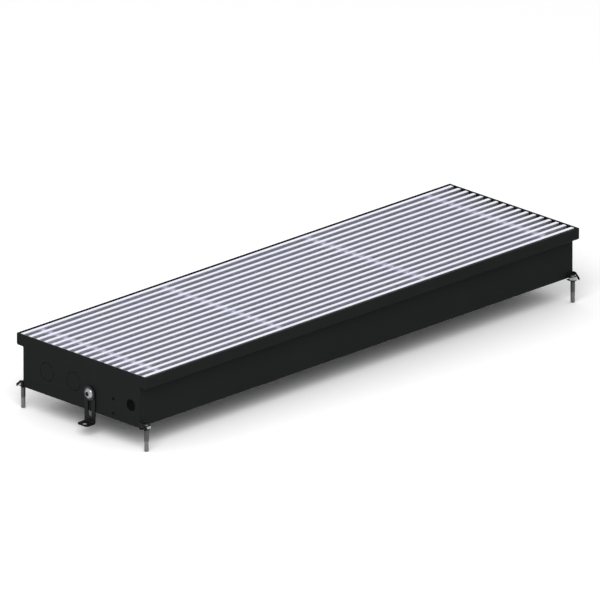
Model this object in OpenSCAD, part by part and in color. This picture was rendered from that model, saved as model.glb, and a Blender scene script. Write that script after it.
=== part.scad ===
// Trench convector heater: a shallow floor trench with a finned heat exchanger under a lift-out bar grille.
// +X runs from the connection end to the blind end, +Y towards the window side, +Z up.
// The origin lies under the middle of the trench, level with the bottoms of the levelling studs.

/* [Trench] */
// Length over the two end plates
trench_l = 1000; // [900:10:1300]
// Width over the two rims
rim_w = 300; // [280:5:340]
// Height from the underside to the top of the rim
body_h = 90; // [85:1:130]
// Width of the ledge that each long side steps out under the rim
ledge_w = 15; // [13:0.5:18]
// Height of the rim above the underside of the ledge
rim_h = 20; // [18:0.5:26]
// Thickness of the folded casing sheet
sheet_t = 1.5; // [1:0.1:2]
// Inside radius of every fold of the casing
bend_r = 1.5; // [1:0.1:2.5]
// Thickness of the end plates
end_t = 2; // [1.5:0.1:3]
// Width of the flanges that each end plate folds into the casing
end_flange_w = 16; // [10:1:24]

/* [Connection end] */
// Diameter of the open cable hole
cable_hole_d = 20; // [16:0.5:24]
// Cable hole axis from the outside of the room side wall
cable_inset = 20.5; // [18:0.5:30]
// Cable hole axis above the underside of the casing
cable_rise = 34; // [26:1:40]
// Diameter of the two box fixing holes
box_hole_d = 5.5; // [4:0.1:6.5]
// Box fixing holes from the outside of the room side wall
box_inset = 61; // [50:1:70]
// Lower box fixing hole above the underside of the casing
box_rise = 9; // [8:1:14]
// Distance between the two box fixing holes
box_pitch = 25; // [20:1:30]
// Diameter of each pipe knock-out
knock_d = 30; // [26:1:34]
// Width of the cut round a knock-out
knock_kerf = 0.7; // [0.4:0.1:1]
// Width of the bridges that hold a knock-out in
knock_bridge = 2.5; // [1.5:0.1:4]

/* [Grille] */
// Width of one bar
bar_w = 7; // [5:0.1:9]
// Centre of the outer bars from the outside of the rim
bar_margin = 10; // [9.5:0.1:11]
// Gap between the bar ends and the connection end plate
grille_gap_near = 0.8; // [0.5:0.1:3]
// Gap between the bar ends and the blind end plate
grille_gap_far = 3.2; // [0.5:0.1:5]
// Chamfer along the top edges of a bar
bar_chamfer = 0.6; // [0.3:0.1:1]
// Height of the tapered foot of a bar
bar_foot_h = 2; // [1:0.1:2.5]
// Width of the underside of a bar
bar_foot_w = 5; // [4:0.1:7]
// Diameter of the cross rods
rod_d = 6; // [4:0.1:7]
// Cross rod axis below the top of the grille
rod_depth = 9.5; // [8.5:0.1:10.5]
// Outer cross rods from the ends of the grille
rod_end_inset = 50; // [30:1:80]
// How far the rod ends lie back from the outer faces of the outer bars
rod_recess = 0.5; // [0.2:0.1:1]
// Outer diameter of the spacer sleeves
sleeve_d = 11; // [9:0.1:12]
// Thickness of the damping strips
strip_t = 1; // [0.5:0.1:1.5]
// Width of the damping strips
strip_w = 9.5; // [6:0.5:10]

/* [Levelling feet] */
// Height of the casing above the floor
foot_h = 40; // [36:1:60]
// Diameter of the threaded studs
stud_d = 8; // [6:0.5:8]
// Stud axis from the outside of the long wall
stud_offset = 8; // [8:0.1:9]
// Stud axis from the outside of the end plate
stud_inset = 7.5; // [6:0.5:20]
// Chamfer at the tip of a stud
stud_chamfer = 0.8; // [0.4:0.1:1.2]
// Height of the plain foot of a stud, under its thread
stud_foot_h = 17; // [10:0.5:17.5]
// How far the plain foot lies inside the thread
stud_relief = 0.4; // [0.2:0.1:0.7]
// Width across the flats of the levelling nuts and the anchor nuts
nut_af = 13; // [12:0.5:13]
// Height of the levelling nuts
level_nut_h = 5; // [4:0.1:6]
// Sheet thickness of the lugs
lug_t = 1.5; // [1:0.1:2.5]
// How far a lug reaches out from the wall
lug_depth = 15; // [14:0.5:17]
// Top of the lug above the underside of the casing
lug_rise = 10.5; // [9:0.5:14]
// Top of the lug's ear, which rests on the nut, above the underside of the casing
ear_rise = 7; // [6.5:0.1:8]
// Width of the ear and of the round ended shelf under the nut
shelf_w = 13; // [11.5:0.1:14]
// Diameter of the stud hole in the shelf
shelf_hole_d = 8.6; // [8.4:0.1:9]
// Width of the flat top of a lug's cheek
cheek_top_w = 6; // [4:0.5:8]
// Height of the cheek's band over its opening
cheek_top_h = 3.1; // [2:0.1:4]
// Width of the cheek's leg beside the wall
cheek_leg_w = 4.3; // [3:0.1:6]
// Width of the cheek's sloping band at its tip
cheek_band_w = 2.5; // [1.5:0.1:3.5]
// Height of the blunt tip of a cheek
cheek_tip_h = 2.2; // [1:0.1:3]

/* [Anchors] */
// Anchor bolt from the middle of the trench, towards the room side
anchor_offset = 21.5; // [10:0.5:40]
// Anchor bolt above the underside of the casing
anchor_rise = 31; // [29:0.5:36]
// Width of the anchor bracket
anchor_w = 24.5; // [20:0.5:30]
// Sheet thickness of the anchor bracket
anchor_t = 2; // [1.5:0.1:3]
// Underside of the anchor foot below the underside of the casing
anchor_drop = 20.5; // [18:0.5:30]
// How far the anchor foot reaches out from the end plate
anchor_reach = 20.5; // [20:0.5:30]
// Inside radius of the anchor bracket's fold
anchor_bend_r = 2; // [1:0.1:3]
// Corner radius of the anchor foot
anchor_corner_r = 5; // [3:0.5:7]
// Diameter of the hole in the anchor foot
anchor_hole_d = 9; // [6:0.5:10]
// Hole in the anchor foot from the end plate
anchor_hole_out = 13.5; // [12:0.5:15]
// Width of the slot in the anchor bracket
slot_w = 8.5; // [8.3:0.1:9]
// Lower end of the slot above the underside of the anchor foot
slot_rise = 11.5; // [9:0.5:14]
// Diameter of the anchor bolts
bolt_d = 8; // [6:0.5:8]
// Diameter of the domed bolt head
bolt_head_d = 17.5; // [14:0.5:18]
// Height of the domed bolt head
bolt_head_h = 5; // [4:0.1:6]
// Width across the flats of the socket in the bolt head
socket_af = 7.5; // [5:0.5:8]
// Depth of the socket in the bolt head
socket_h = 3.5; // [2:0.1:4]
// Diameter of the anchor washer
washer_d = 23.5; // [20:0.5:24]
// Thickness of the anchor washer
washer_t = 1.5; // [1:0.1:2]
// Height of the anchor nuts
anchor_nut_h = 6.5; // [5:0.1:7]
// How far the bolt reaches past the anchor nut
bolt_tail = 3; // [1:0.5:6]

/* [Heat exchanger] */
// Outer diameter of the copper tubes
tube_d = 18; // [15:1:20]
// Wall of the copper tubes
tube_wall = 1; // [0.8:0.1:1.2]
// Distance between the two tube axes
tube_pitch = 62; // [58:1:66]
// Supply tube axis from the outside of the window side wall
supply_inset = 55; // [50:1:60]
// Thickness of one fin
fin_t = 0.5; // [0.4:0.1:0.8]
// Distance from fin to fin
fin_pitch = 9; // [7:0.5:12]
// Wall of the collars that space the fins
collar_wall = 1.2; // [0.8:0.1:1.5]
// How far the fins reach past each tube axis
fin_side = 31; // [26:1:34]
// Height of the fins
fin_h = 46; // [40:1:54]
// Space between the fins and the cross braces
fin_brace_gap = 1; // [0.5:0.1:3]
// Connection end bracket from the inside of the end plate
bracket_near = 105; // [100:1:130]
// Blind end bracket from the inside of the end plate
bracket_far = 65; // [60:1:90]
// Sheet thickness of the exchanger brackets
bracket_t = 1.5; // [1:0.1:2]
// Width of the foot and side flange of an exchanger bracket
bracket_flange = 14; // [12:0.5:18]
// Wall of the rubber grommets
grommet_wall = 2; // [1.5:0.1:2.5]
// Width of a grommet's lip
grommet_lip = 2; // [1:0.1:2.5]
// Thickness of a grommet's lip
grommet_lip_t = 1.2; // [0.8:0.1:2]
// Gap between the fins and a grommet
fin_grommet_gap = 1; // [0.5:0.1:3]
// Diameter of the rivets
rivet_d = 4; // [3:0.1:5]
// Diameter of a rivet head
rivet_head_d = 8; // [6:0.5:9]
// Height of a rivet head
rivet_head_h = 1.2; // [0.8:0.1:1.5]
// Rivets from the ends of a bracket foot
rivet_inset = 15; // [10:1:30]
// Thickness of the air baffle
baffle_t = 1; // [0.8:0.1:1.5]
// Lower edge of the air baffle above the casing floor
baffle_rise = 10; // [6:1:16]

/* [Return bend and air vent] */
// Straight tube between the blind end bracket and the bend
bend_lead = 14; // [12:0.5:16]
// Length of the sockets of the bend
bend_socket_l = 10; // [6:0.5:10]
// Diameter of the air vent body
vent_d = 12; // [10:0.5:14]
// Height of the air vent body above the bend
vent_h = 8; // [6:0.5:10]
// Diameter of the air vent screw
vent_screw_d = 6; // [5:0.5:7]
// Length of the air vent screw inside the body
vent_screw_l = 6; // [4:0.5:8]
// Height of the air vent screw's head
vent_head_h = 3; // [2:0.5:4]
// Diameter of the air vent screw's head
vent_head_d = 9; // [8:0.5:10]
// Width of the slot in the air vent screw
vent_slot_w = 1.2; // [0.8:0.1:1.6]

/* [Valves] */
// Width across the flats of the union nuts
union_af = 30; // [28:0.5:32]
// Length of a union nut
union_l = 18; // [16:0.5:22]
// How far the tube reaches into a union nut
union_tube_l = 9; // [6:0.5:10]
// Outer diameter of the valve's threaded neck
valve_neck_d = 24; // [22:0.5:26]
// Waterway of the valve
valve_bore_d = 14; // [12:0.5:15]
// Diameter of the valve chamber
valve_chamber_d = 29; // [27:0.5:32]
// Valve spindle axis from the inside of the end plate
spindle_inset = 42; // [38:1:50]
// Outlet face of the valve from the inside of the end plate
outlet_gap = 6; // [3:0.5:10]
// Width across the flats of the valve outlet
outlet_af = 27; // [25:0.5:29]
// Length of the hexagon of the valve outlet
outlet_l = 16; // [14:0.5:20]
// Core diameter of the outlet thread
outlet_bore_d = 18.6; // [17:0.1:20]
// Depth of the outlet thread
outlet_depth = 13; // [10:0.5:15]
// Diameter of the bonnet under the valve cap
bonnet_d = 20; // [18:0.5:22]
// Top of the bonnet above the tube axis
bonnet_rise = 20; // [18:0.5:21]
// Diameter of the spindle bore in the bonnet
spindle_d = 6; // [4:0.5:8]
// Depth of the spindle bore in the bonnet
spindle_l = 5; // [3:0.5:6]
// Space between the valve caps and the grille
cap_gap = 2.5; // [1.5:0.5:4]
// Outer diameter of the hand cap of the supply valve
hand_cap_d = 32; // [30:0.5:36]
// Outer diameter of the lockshield cap of the return valve
shield_cap_d = 25; // [24:0.5:28]
// How far the caps reach down over the bonnet
cap_skirt = 5; // [3:0.5:5]
// Diameter of the grip flutes of the hand cap
flute_d = 3; // [2:0.5:4]

/* [Cross braces] */
// Cross braces from the middle of the trench
brace_offset = 300; // [200:5:320]
// Width of a cross brace
brace_w = 20; // [14:1:28]
// Depth of a cross brace
brace_h = 6.5; // [5:0.5:8]
// Sheet thickness of a cross brace
brace_t = 1.5; // [1:0.1:2]
// Height of the end tabs of a cross brace
brace_tab_h = 14; // [10:1:18]
// Top of a cross brace under the top face of the ledge
brace_down = 0.5; // [0.2:0.1:1]

/* [Hidden] */

// Clearance between a bore and what it holds
fit_gap = 0.05;
// Clearance between a piece and its seat
seat_gap = 0.3;
// Overrun of a cut past the face it opens
cut_over = 1;
// Straight stretches that stand for one fold or rounded corner
arc_steps = 6;
arc_fn = 48;
collar_fn = 24;

bar_count = 17;
rod_count = 4;
flute_count = 12;
bridge_count = 3;

// Shares of the grille length at which the inner cross rods lie from its middle
rod_mid_share = 1 / 6;
// Share of the bolt head that is a straight edge under the dome
head_edge_share = 0.16;
// Share of the across flats width that a nut loses to its corner chamfers
nut_face_share = 0.95;

// Levels of the casing
base_z = foot_h;
top_z = foot_h + body_h;
ledge_z = top_z - rim_h;
floor_z = base_z + sheet_t;
ledge_top = ledge_z + sheet_t;

// Half widths of the casing
rim_y = rim_w / 2;
wall_y = rim_y - ledge_w;
inner_y = wall_y - sheet_t;

// Half lengths of the casing
end_x = trench_l / 2;
inner_x = end_x - end_t;

// Grille
bar_z = ledge_top + strip_t + seat_gap;
bar_h = top_z - bar_z;
outer_bar_y = rim_y - bar_margin;
bar_pitch = 2 * outer_bar_y / (bar_count - 1);
grille_x0 = -inner_x + grille_gap_near;
grille_x1 = inner_x - grille_gap_far;
grille_l = grille_x1 - grille_x0;
grille_mid = (grille_x0 + grille_x1) / 2;
rod_z = top_z - rod_depth;
rod_x = [
    grille_x0 + rod_end_inset,
    grille_mid - grille_l * rod_mid_share,
    grille_mid + grille_l * rod_mid_share,
    grille_x1 - rod_end_inset
];
rod_l = 2 * outer_bar_y + bar_w - 2 * rod_recess;
strip_l = grille_l - 2 * bar_w;
strip_y = inner_y + bend_r + sheet_t;

// Levelling feet
stud_x = end_x - stud_inset;
stud_y = wall_y + stud_offset;
ear_z = base_z + ear_rise;
ear_reach = stud_offset - stud_d / 2 - seat_gap;
shelf_z = base_z - lug_t;
stud_top = ear_z - seat_gap;
nut_top = ear_z - lug_t - seat_gap;
nut_r = nut_af / 2 / cos(30);
cheek_in = nut_r + seat_gap;
cheek_out = cheek_in + lug_t;
lug_top = base_z + lug_rise;
corner_names = ["connection_room", "connection_window", "blind_room", "blind_window"];
corner_signs = [[-1, -1], [-1, 1], [1, -1], [1, 1]];

// Anchors
anchor_z = base_z + anchor_rise;
anchor_foot_z = base_z - anchor_drop;
anchor_in = end_x + seat_gap;
anchor_out = anchor_in + anchor_t;
washer_in = anchor_out + seat_gap;
head_in = washer_in + washer_t;
slot_r = slot_w / 2;
slot_low = anchor_foot_z + slot_rise + slot_r;
slot_high = anchor_z + bolt_d / 2 + seat_gap - slot_r;
bolt_end = inner_x - anchor_nut_h - bolt_tail;

// Heat exchanger
supply_y = wall_y - supply_inset;
return_y = supply_y - tube_pitch;
exchanger_y = (supply_y + return_y) / 2;
brace_z1 = ledge_top - brace_down;
brace_z0 = brace_z1 - brace_h;
fin_z1 = brace_z0 - fin_brace_gap;
fin_z0 = fin_z1 - fin_h;
tube_z = (fin_z0 + fin_z1) / 2;
fin_w = tube_pitch + 2 * fin_side;
near_plate_x = -inner_x + bracket_near;
far_plate_x = inner_x - bracket_far;
grommet_r = tube_d / 2 + grommet_wall;
lip_reach = grommet_lip_t + fit_gap;
fin_room_x0 = near_plate_x + bracket_t + lip_reach + fin_grommet_gap;
fin_room_x1 = far_plate_x - bracket_t - lip_reach - fin_grommet_gap;
fin_count = floor((fin_room_x1 - fin_room_x0 - fin_t) / fin_pitch) + 1;
fin_run = (fin_count - 1) * fin_pitch + fin_t;
fin_x0 = (fin_room_x0 + fin_room_x1 - fin_run) / 2;
collar_r = tube_d / 2 + fit_gap + collar_wall;
bracket_side_y = exchanger_y - fin_w / 2 - bracket_t;
bracket_w = fin_w + bracket_t;

// Valves and bend
spindle_x = -inner_x + spindle_inset;
outlet_x = -inner_x + outlet_gap;
tube_x0 = near_plate_x - bracket_flange - union_tube_l;
union_x0 = tube_x0 + union_tube_l - union_l;
bend_x = far_plate_x + bend_lead;
bend_r_mid = tube_pitch / 2;
socket_r = tube_d / 2 + fit_gap + tube_wall;
bonnet_z = tube_z + bonnet_rise;
cap_top = bar_z - cap_gap;
crown_z = tube_z + tube_d / 2;

function arc_points(c, r, a0, a1) = [
    for (k = [0 : arc_steps])
        let (a = a0 + (a1 - a0) * k / arc_steps)
            [c[0] + r * cos(a), c[1] + r * sin(a)]
];

function mirrored(points) = [for (k = [len(points) - 1 : -1 : 0]) [-points[k][0], points[k][1]]];

// Window side half of the casing's outline, moved in by inset and running up to the level top
function half_outline(inset, top) =
    let (
        r_out = bend_r + sheet_t - inset,
        r_step = bend_r + inset,
        wall = wall_y - inset,
        rim = rim_y - inset
    )
    concat(
        arc_points([wall - r_out, base_z + inset + r_out], r_out, -90, 0),
        arc_points([wall + r_step, ledge_z + inset - r_step], r_step, 180, 90),
        arc_points([rim - r_out, ledge_z + inset + r_out], r_out, -90, 0),
        [[rim, top]]
    );

function outline(inset, top) = concat(half_outline(inset, top), mirrored(half_outline(inset, top)));

// Runs a shape drawn in Y and Z along X
module along_x(x0, l) {
    translate([x0, 0, 0])
        rotate([90, 0, 90])
            linear_extrude(height = l)
                children();
}

// Round bar from one end along X
module rod_x_way(d, x0, x1) {
    translate([x0, 0, 0])
        rotate([0, 90, 0])
            cylinder(d = d, h = x1 - x0, $fn = arc_fn);
}

module block(x, y, z) {
    translate([x[0], y[0], z[0]])
        cube([x[1] - x[0], y[1] - y[0], z[1] - z[0]]);
}

module hexagon(af, h) {
    cylinder(r = af / 2 / cos(30), h = h, $fn = 6);
}

// Hexagon with the corners turned off at both faces, standing on the floor of its own frame
module turned_hexagon(af, h) {
    corner_r = af / 2 / cos(30);
    face_r = af / 2 * nut_face_share;
    slope = (corner_r - face_r) * tan(30);
    intersection() {
        hexagon(af, h);
        rotate_extrude($fn = arc_fn)
            polygon([
                [0, 0], [face_r, 0], [corner_r, slope],
                [corner_r, h - slope], [face_r, h], [0, h]
            ]);
    }
}

// Casing

module trench_channel() {
    color([0.15, 0.16, 0.16])
        difference() {
            along_x(-inner_x, 2 * inner_x)
                difference() {
                    polygon(outline(0, top_z));
                    polygon(outline(sheet_t, top_z + cut_over));
                }
            at_rivets()
                translate([0, 0, base_z - cut_over])
                    cylinder(d = rivet_d + 2 * fit_gap, h = sheet_t + 2 * cut_over, $fn = arc_fn);
        }
}

// End plate of the blind end, with its flanges folded into the casing
module plain_end_plate() {
    flange_x = [inner_x - end_flange_w, inner_x];
    fold = bend_r + sheet_t;
    flange_z1 = ledge_z - fold;
    flange_t = end_t;
    difference() {
        union() {
            along_x(inner_x, end_t)
                polygon(outline(0, top_z));
            block(flange_x, [-inner_y + fold, inner_y - fold], [floor_z, floor_z + flange_t]);
            block(flange_x, [-inner_y, -inner_y + flange_t], [floor_z + fold, flange_z1]);
            block(flange_x, [inner_y - flange_t, inner_y], [floor_z + fold, flange_z1]);
        }
        translate([inner_x - cut_over, -anchor_offset, anchor_z])
            rod_x_way(bolt_d + 2 * seat_gap, 0, end_t + 2 * cut_over);
    }
}

module knock_out_cut(y) {
    translate([-end_x - cut_over, y, tube_z])
        rotate([0, 90, 0])
            difference() {
                cylinder(d = knock_d + 2 * knock_kerf, h = end_t + 2 * cut_over, $fn = arc_fn);
                translate([0, 0, -cut_over])
                    cylinder(d = knock_d, h = end_t + 4 * cut_over, $fn = arc_fn);
                for (k = [0 : bridge_count - 1])
                    rotate([0, 0, 360 * k / bridge_count])
                        translate([0, -knock_bridge / 2, -cut_over])
                            cube([knock_d, knock_bridge, end_t + 4 * cut_over]);
            }
}

module end_hole(d, y, z) {
    translate([-end_x - cut_over, y, z])
        rod_x_way(d, 0, end_t + 2 * cut_over);
}

module end_plate_connection() {
    box_z = base_z + box_rise;
    color([0.15, 0.16, 0.16])
        difference() {
            mirror([1, 0, 0])
                plain_end_plate();
            end_hole(cable_hole_d, -wall_y + cable_inset, base_z + cable_rise);
            end_hole(box_hole_d, -wall_y + box_inset, box_z);
            end_hole(box_hole_d, -wall_y + box_inset, box_z + box_pitch);
            knock_out_cut(supply_y);
            knock_out_cut(return_y);
        }
}

module end_plate_blind() {
    color([0.15, 0.16, 0.16])
        plain_end_plate();
}

// Folded brace that holds the long walls apart
module cross_brace(x) {
    x0 = x - brace_w / 2;
    x1 = x + brace_w / 2;
    color([0.17, 0.18, 0.18])
        union() {
            block([x0, x1], [-inner_y, inner_y], [brace_z1 - brace_t, brace_z1]);
            block([x0, x0 + brace_t], [-inner_y, inner_y], [brace_z0, brace_z1]);
            block([x1 - brace_t, x1], [-inner_y, inner_y], [brace_z0, brace_z1]);
            for (s = [0, 1])
                mirror([0, s, 0])
                    block([x0, x1], [inner_y - brace_t, inner_y], [brace_z1 - brace_tab_h, brace_z1]);
        }
}

// Foam strip under an outer bar of the grille
module damping_strip(side) {
    y0 = side * (strip_y + strip_w / 2);
    color([0.08, 0.08, 0.08])
        block(
            [grille_mid - strip_l / 2, grille_mid + strip_l / 2],
            [y0 - strip_w / 2, y0 + strip_w / 2],
            [ledge_top, ledge_top + strip_t]
        );
}

// Levelling feet

// One lug of the blind end, drawn with the wall at Y zero and the stud axis at X zero
module lug() {
    ear_low = ear_z - lug_t;
    cheek_outline = [
        [0, shelf_z],
        [0, lug_top],
        [cheek_top_w, lug_top],
        [lug_depth, base_z + cheek_tip_h],
        [lug_depth, shelf_z],
        [lug_depth - cheek_band_w, shelf_z],
        [cheek_leg_w, lug_top - cheek_top_h],
        [cheek_leg_w, shelf_z]
    ];
    block([-shelf_w / 2, cheek_out], [0, lug_t], [ear_low, lug_top]);
    block([-shelf_w / 2, cheek_out], [0, ear_reach], [ear_low, ear_z]);
    along_x(cheek_in, lug_t)
        polygon(cheek_outline);
    difference() {
        union() {
            block([-shelf_w / 2, shelf_w / 2], [0, stud_offset], [shelf_z, base_z]);
            block([0, cheek_out], [0, cheek_leg_w], [shelf_z, base_z]);
            translate([0, stud_offset, shelf_z])
                cylinder(d = shelf_w, h = lug_t, $fn = arc_fn);
        }
        translate([0, stud_offset, shelf_z - cut_over])
            cylinder(d = shelf_hole_d, h = lug_t + 2 * cut_over, $fn = arc_fn);
    }
}

module levelling_lugs() {
    color([0.12, 0.13, 0.13])
        for (s = corner_signs)
            translate([s[0] * stud_x, s[1] * wall_y, 0])
                mirror([0, s[1] < 0 ? 1 : 0, 0])
                    mirror([s[0] < 0 ? 1 : 0, 0, 0])
                        lug();
}

module levelling_nut(corner) {
    s = corner_signs[corner];
    color([0.75, 0.76, 0.77])
        translate([s[0] * stud_x, s[1] * stud_y, nut_top - level_nut_h])
            difference() {
                turned_hexagon(nut_af, level_nut_h);
                translate([0, 0, -cut_over])
                    cylinder(d = stud_d + 2 * fit_gap, h = level_nut_h + 2 * cut_over, $fn = arc_fn);
            }
}

module levelling_stud(corner) {
    s = corner_signs[corner];
    r = stud_d / 2;
    foot_r = r - stud_relief;
    color([0.45, 0.46, 0.47])
        translate([s[0] * stud_x, s[1] * stud_y, 0])
            rotate_extrude($fn = arc_fn)
                polygon([
                    [0, 0], [foot_r - stud_chamfer, 0], [foot_r, stud_chamfer],
                    [foot_r, stud_foot_h], [r, stud_foot_h + stud_relief],
                    [r, stud_top - stud_chamfer], [r - stud_chamfer, stud_top], [0, stud_top]
                ]);
}

// Anchors, drawn at the blind end and mirrored for the connection end

module anchor_bracket() {
    half = anchor_w / 2;
    fold_r = anchor_bend_r + anchor_t;
    fold_x = anchor_out + anchor_bend_r;
    fold_z = anchor_foot_z + fold_r;
    foot_x1 = end_x + anchor_reach;
    color([0.13, 0.14, 0.14])
        difference() {
            union() {
                block([anchor_in, anchor_out], [-half, half], [fold_z, slot_high]);
                translate([0, 0, slot_high])
                    rod_x_way(anchor_w, anchor_in, anchor_out);
                intersection() {
                    translate([fold_x, half, fold_z])
                        rotate([90, 0, 0])
                            difference() {
                                cylinder(r = fold_r, h = anchor_w, $fn = arc_fn);
                                translate([0, 0, -cut_over])
                                    cylinder(r = anchor_bend_r, h = anchor_w + 2 * cut_over, $fn = arc_fn);
                            }
                    block([anchor_in, fold_x], [-half, half], [anchor_foot_z, fold_z]);
                }
                block(
                    [fold_x, foot_x1 - anchor_corner_r], [-half, half],
                    [anchor_foot_z, anchor_foot_z + anchor_t]
                );
                block(
                    [fold_x, foot_x1], [-half + anchor_corner_r, half - anchor_corner_r],
                    [anchor_foot_z, anchor_foot_z + anchor_t]
                );
                for (s = [-1, 1])
                    translate([foot_x1 - anchor_corner_r, s * (half - anchor_corner_r), anchor_foot_z])
                        cylinder(r = anchor_corner_r, h = anchor_t, $fn = arc_fn);
            }
            translate([end_x + anchor_hole_out, 0, anchor_foot_z - cut_over])
                cylinder(d = anchor_hole_d, h = anchor_t + 2 * cut_over, $fn = arc_fn);
            block([anchor_in - cut_over, anchor_out + cut_over], [-slot_r, slot_r], [slot_low, slot_high]);
            for (z = [slot_low, slot_high])
                translate([0, 0, z])
                    rod_x_way(slot_w, anchor_in - cut_over, anchor_out + cut_over);
        }
}

module anchor_bolt() {
    edge_h = bolt_head_h * head_edge_share;
    head_r = bolt_head_d / 2;
    dome_h = bolt_head_h - edge_h;
    dome_r = (head_r * head_r + dome_h * dome_h) / (2 * dome_h);
    dome_mid = head_in + bolt_head_h - dome_r;
    profile = concat(
        [[0, bolt_end], [bolt_d / 2, bolt_end], [bolt_d / 2, head_in], [head_r, head_in]],
        arc_points([0, dome_mid], dome_r, asin((dome_r - dome_h) / dome_r), 90)
    );
    difference() {
        rotate([0, 90, 0])
            rotate_extrude($fn = arc_fn)
                polygon(profile);
        translate([head_in + bolt_head_h - socket_h, 0, 0])
            rotate([0, 90, 0])
                hexagon(socket_af, socket_h + cut_over);
    }
}

module anchor_washer() {
    difference() {
        rod_x_way(washer_d, washer_in, head_in);
        rod_x_way(bolt_d + 2 * fit_gap, washer_in - cut_over, head_in + cut_over);
    }
}

module anchor_nut() {
    difference() {
        translate([inner_x - anchor_nut_h, 0, 0])
            rotate([0, 90, 0])
                turned_hexagon(nut_af, anchor_nut_h);
        rod_x_way(bolt_d + 2 * fit_gap, inner_x - anchor_nut_h - cut_over, inner_x + cut_over);
    }
}

// Puts a piece of the anchor on the bolt axis of one end
module at_anchor(side, z) {
    mirror([side < 0 ? 1 : 0, 0, 0])
        translate([0, -anchor_offset, z])
            children();
}

// Both ends' copies of a piece of the anchor
module both_anchors() {
    for (side = [-1, 1])
        at_anchor(side, anchor_z)
            children();
}

// Grille

module grille_bar(i) {
    half = bar_w / 2;
    section = [
        [-bar_foot_w / 2, bar_z],
        [bar_foot_w / 2, bar_z],
        [half, bar_z + bar_foot_h],
        [half, top_z - bar_chamfer],
        [half - bar_chamfer, top_z],
        [-half + bar_chamfer, top_z],
        [-half, top_z - bar_chamfer],
        [-half, bar_z + bar_foot_h]
    ];
    color([0.80, 0.82, 0.86])
        translate([0, outer_bar_y - i * bar_pitch, 0])
            difference() {
                along_x(grille_x0, grille_l)
                    polygon(section);
                for (x = rod_x)
                    translate([x, half + cut_over, rod_z])
                        rotate([90, 0, 0])
                            cylinder(d = rod_d + 2 * fit_gap, h = bar_w + 2 * cut_over, $fn = arc_fn);
            }
}

module cross_rod(k) {
    color([0.62, 0.63, 0.65])
        translate([rod_x[k], rod_l / 2, rod_z])
            rotate([90, 0, 0])
                cylinder(d = rod_d, h = rod_l, $fn = arc_fn);
}

module spacer_sleeves() {
    sleeve_l = bar_pitch - bar_w;
    color([0.66, 0.67, 0.69])
        for (x = rod_x, i = [0 : bar_count - 2])
            translate([x, outer_bar_y - i * bar_pitch - bar_w / 2, rod_z])
                rotate([90, 0, 0])
                    difference() {
                        cylinder(d = sleeve_d, h = sleeve_l, $fn = arc_fn);
                        translate([0, 0, -cut_over])
                            cylinder(d = rod_d + 2 * fit_gap, h = sleeve_l + 2 * cut_over, $fn = arc_fn);
                    }
}

// Heat exchanger

module at_tubes() {
    for (y = [supply_y, return_y])
        translate([0, y, tube_z])
            children();
}

module fin_pack() {
    color([0.84, 0.85, 0.86])
        difference() {
            union() {
                for (i = [0 : fin_count - 1])
                    block(
                        [fin_x0 + i * fin_pitch, fin_x0 + i * fin_pitch + fin_t],
                        [exchanger_y - fin_w / 2, exchanger_y + fin_w / 2],
                        [fin_z0, fin_z1]
                    );
                at_tubes()
                    translate([fin_x0, 0, 0])
                        rotate([0, 90, 0])
                            cylinder(r = collar_r, h = fin_run, $fn = collar_fn);
            }
            at_tubes()
                rod_x_way(tube_d + 2 * fit_gap, fin_x0 - cut_over, fin_x0 + fin_run + cut_over);
        }
}

module tube_piece(y) {
    color([0.72, 0.43, 0.29])
        translate([0, y, tube_z])
            difference() {
                rod_x_way(tube_d, tube_x0, bend_x - fit_gap);
                rod_x_way(tube_d - 2 * tube_wall, tube_x0 - cut_over, bend_x + cut_over);
            }
}

module return_bend() {
    color([0.72, 0.43, 0.29])
        difference() {
            union() {
                translate([bend_x, exchanger_y, tube_z])
                    rotate([0, 0, -90])
                        rotate_extrude(angle = 180, $fn = arc_fn)
                            translate([bend_r_mid, 0])
                                difference() {
                                    circle(r = socket_r, $fn = arc_fn);
                                    circle(r = tube_d / 2 - tube_wall, $fn = arc_fn);
                                }
                at_tubes()
                    difference() {
                        rod_x_way(2 * socket_r, bend_x - bend_socket_l, bend_x);
                        rod_x_way(
                            tube_d + 2 * fit_gap,
                            bend_x - bend_socket_l - cut_over, bend_x + cut_over
                        );
                    }
            }
            at_vent()
                cylinder(d = vent_screw_d / 2, h = socket_r + cut_over, $fn = arc_fn);
        }
}

// Crown of the return bend, where the air vent stands
module at_vent() {
    translate([bend_x + bend_r_mid, exchanger_y, tube_z])
        children();
}

module air_vent_body() {
    body_z1 = socket_r + vent_h;
    screw_r = vent_screw_d / 2;
    color([0.78, 0.62, 0.34])
        difference() {
            at_vent()
                difference() {
                    cylinder(d = vent_d, h = body_z1, $fn = arc_fn);
                    cylinder(d = screw_r, h = body_z1 + cut_over, $fn = arc_fn);
                    translate([0, 0, body_z1 - vent_screw_l - seat_gap])
                        cylinder(r = screw_r + fit_gap, h = vent_screw_l + cut_over, $fn = arc_fn);
                }
            translate([bend_x, exchanger_y, tube_z])
                rotate_extrude($fn = arc_fn)
                    translate([bend_r_mid, 0])
                        circle(r = socket_r + fit_gap, $fn = arc_fn);
        }
}

module air_vent_screw() {
    body_z1 = socket_r + vent_h;
    color([0.80, 0.81, 0.82])
        at_vent()
            difference() {
                union() {
                    translate([0, 0, body_z1 - vent_screw_l])
                        cylinder(d = vent_screw_d, h = vent_screw_l + seat_gap, $fn = arc_fn);
                    translate([0, 0, body_z1 + seat_gap])
                        cylinder(d = vent_head_d, h = vent_head_h, $fn = arc_fn);
                }
                translate([-vent_head_d, -vent_slot_w / 2, body_z1 + seat_gap + vent_head_h / 2])
                    cube([2 * vent_head_d, vent_slot_w, vent_head_h]);
            }
}

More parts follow.
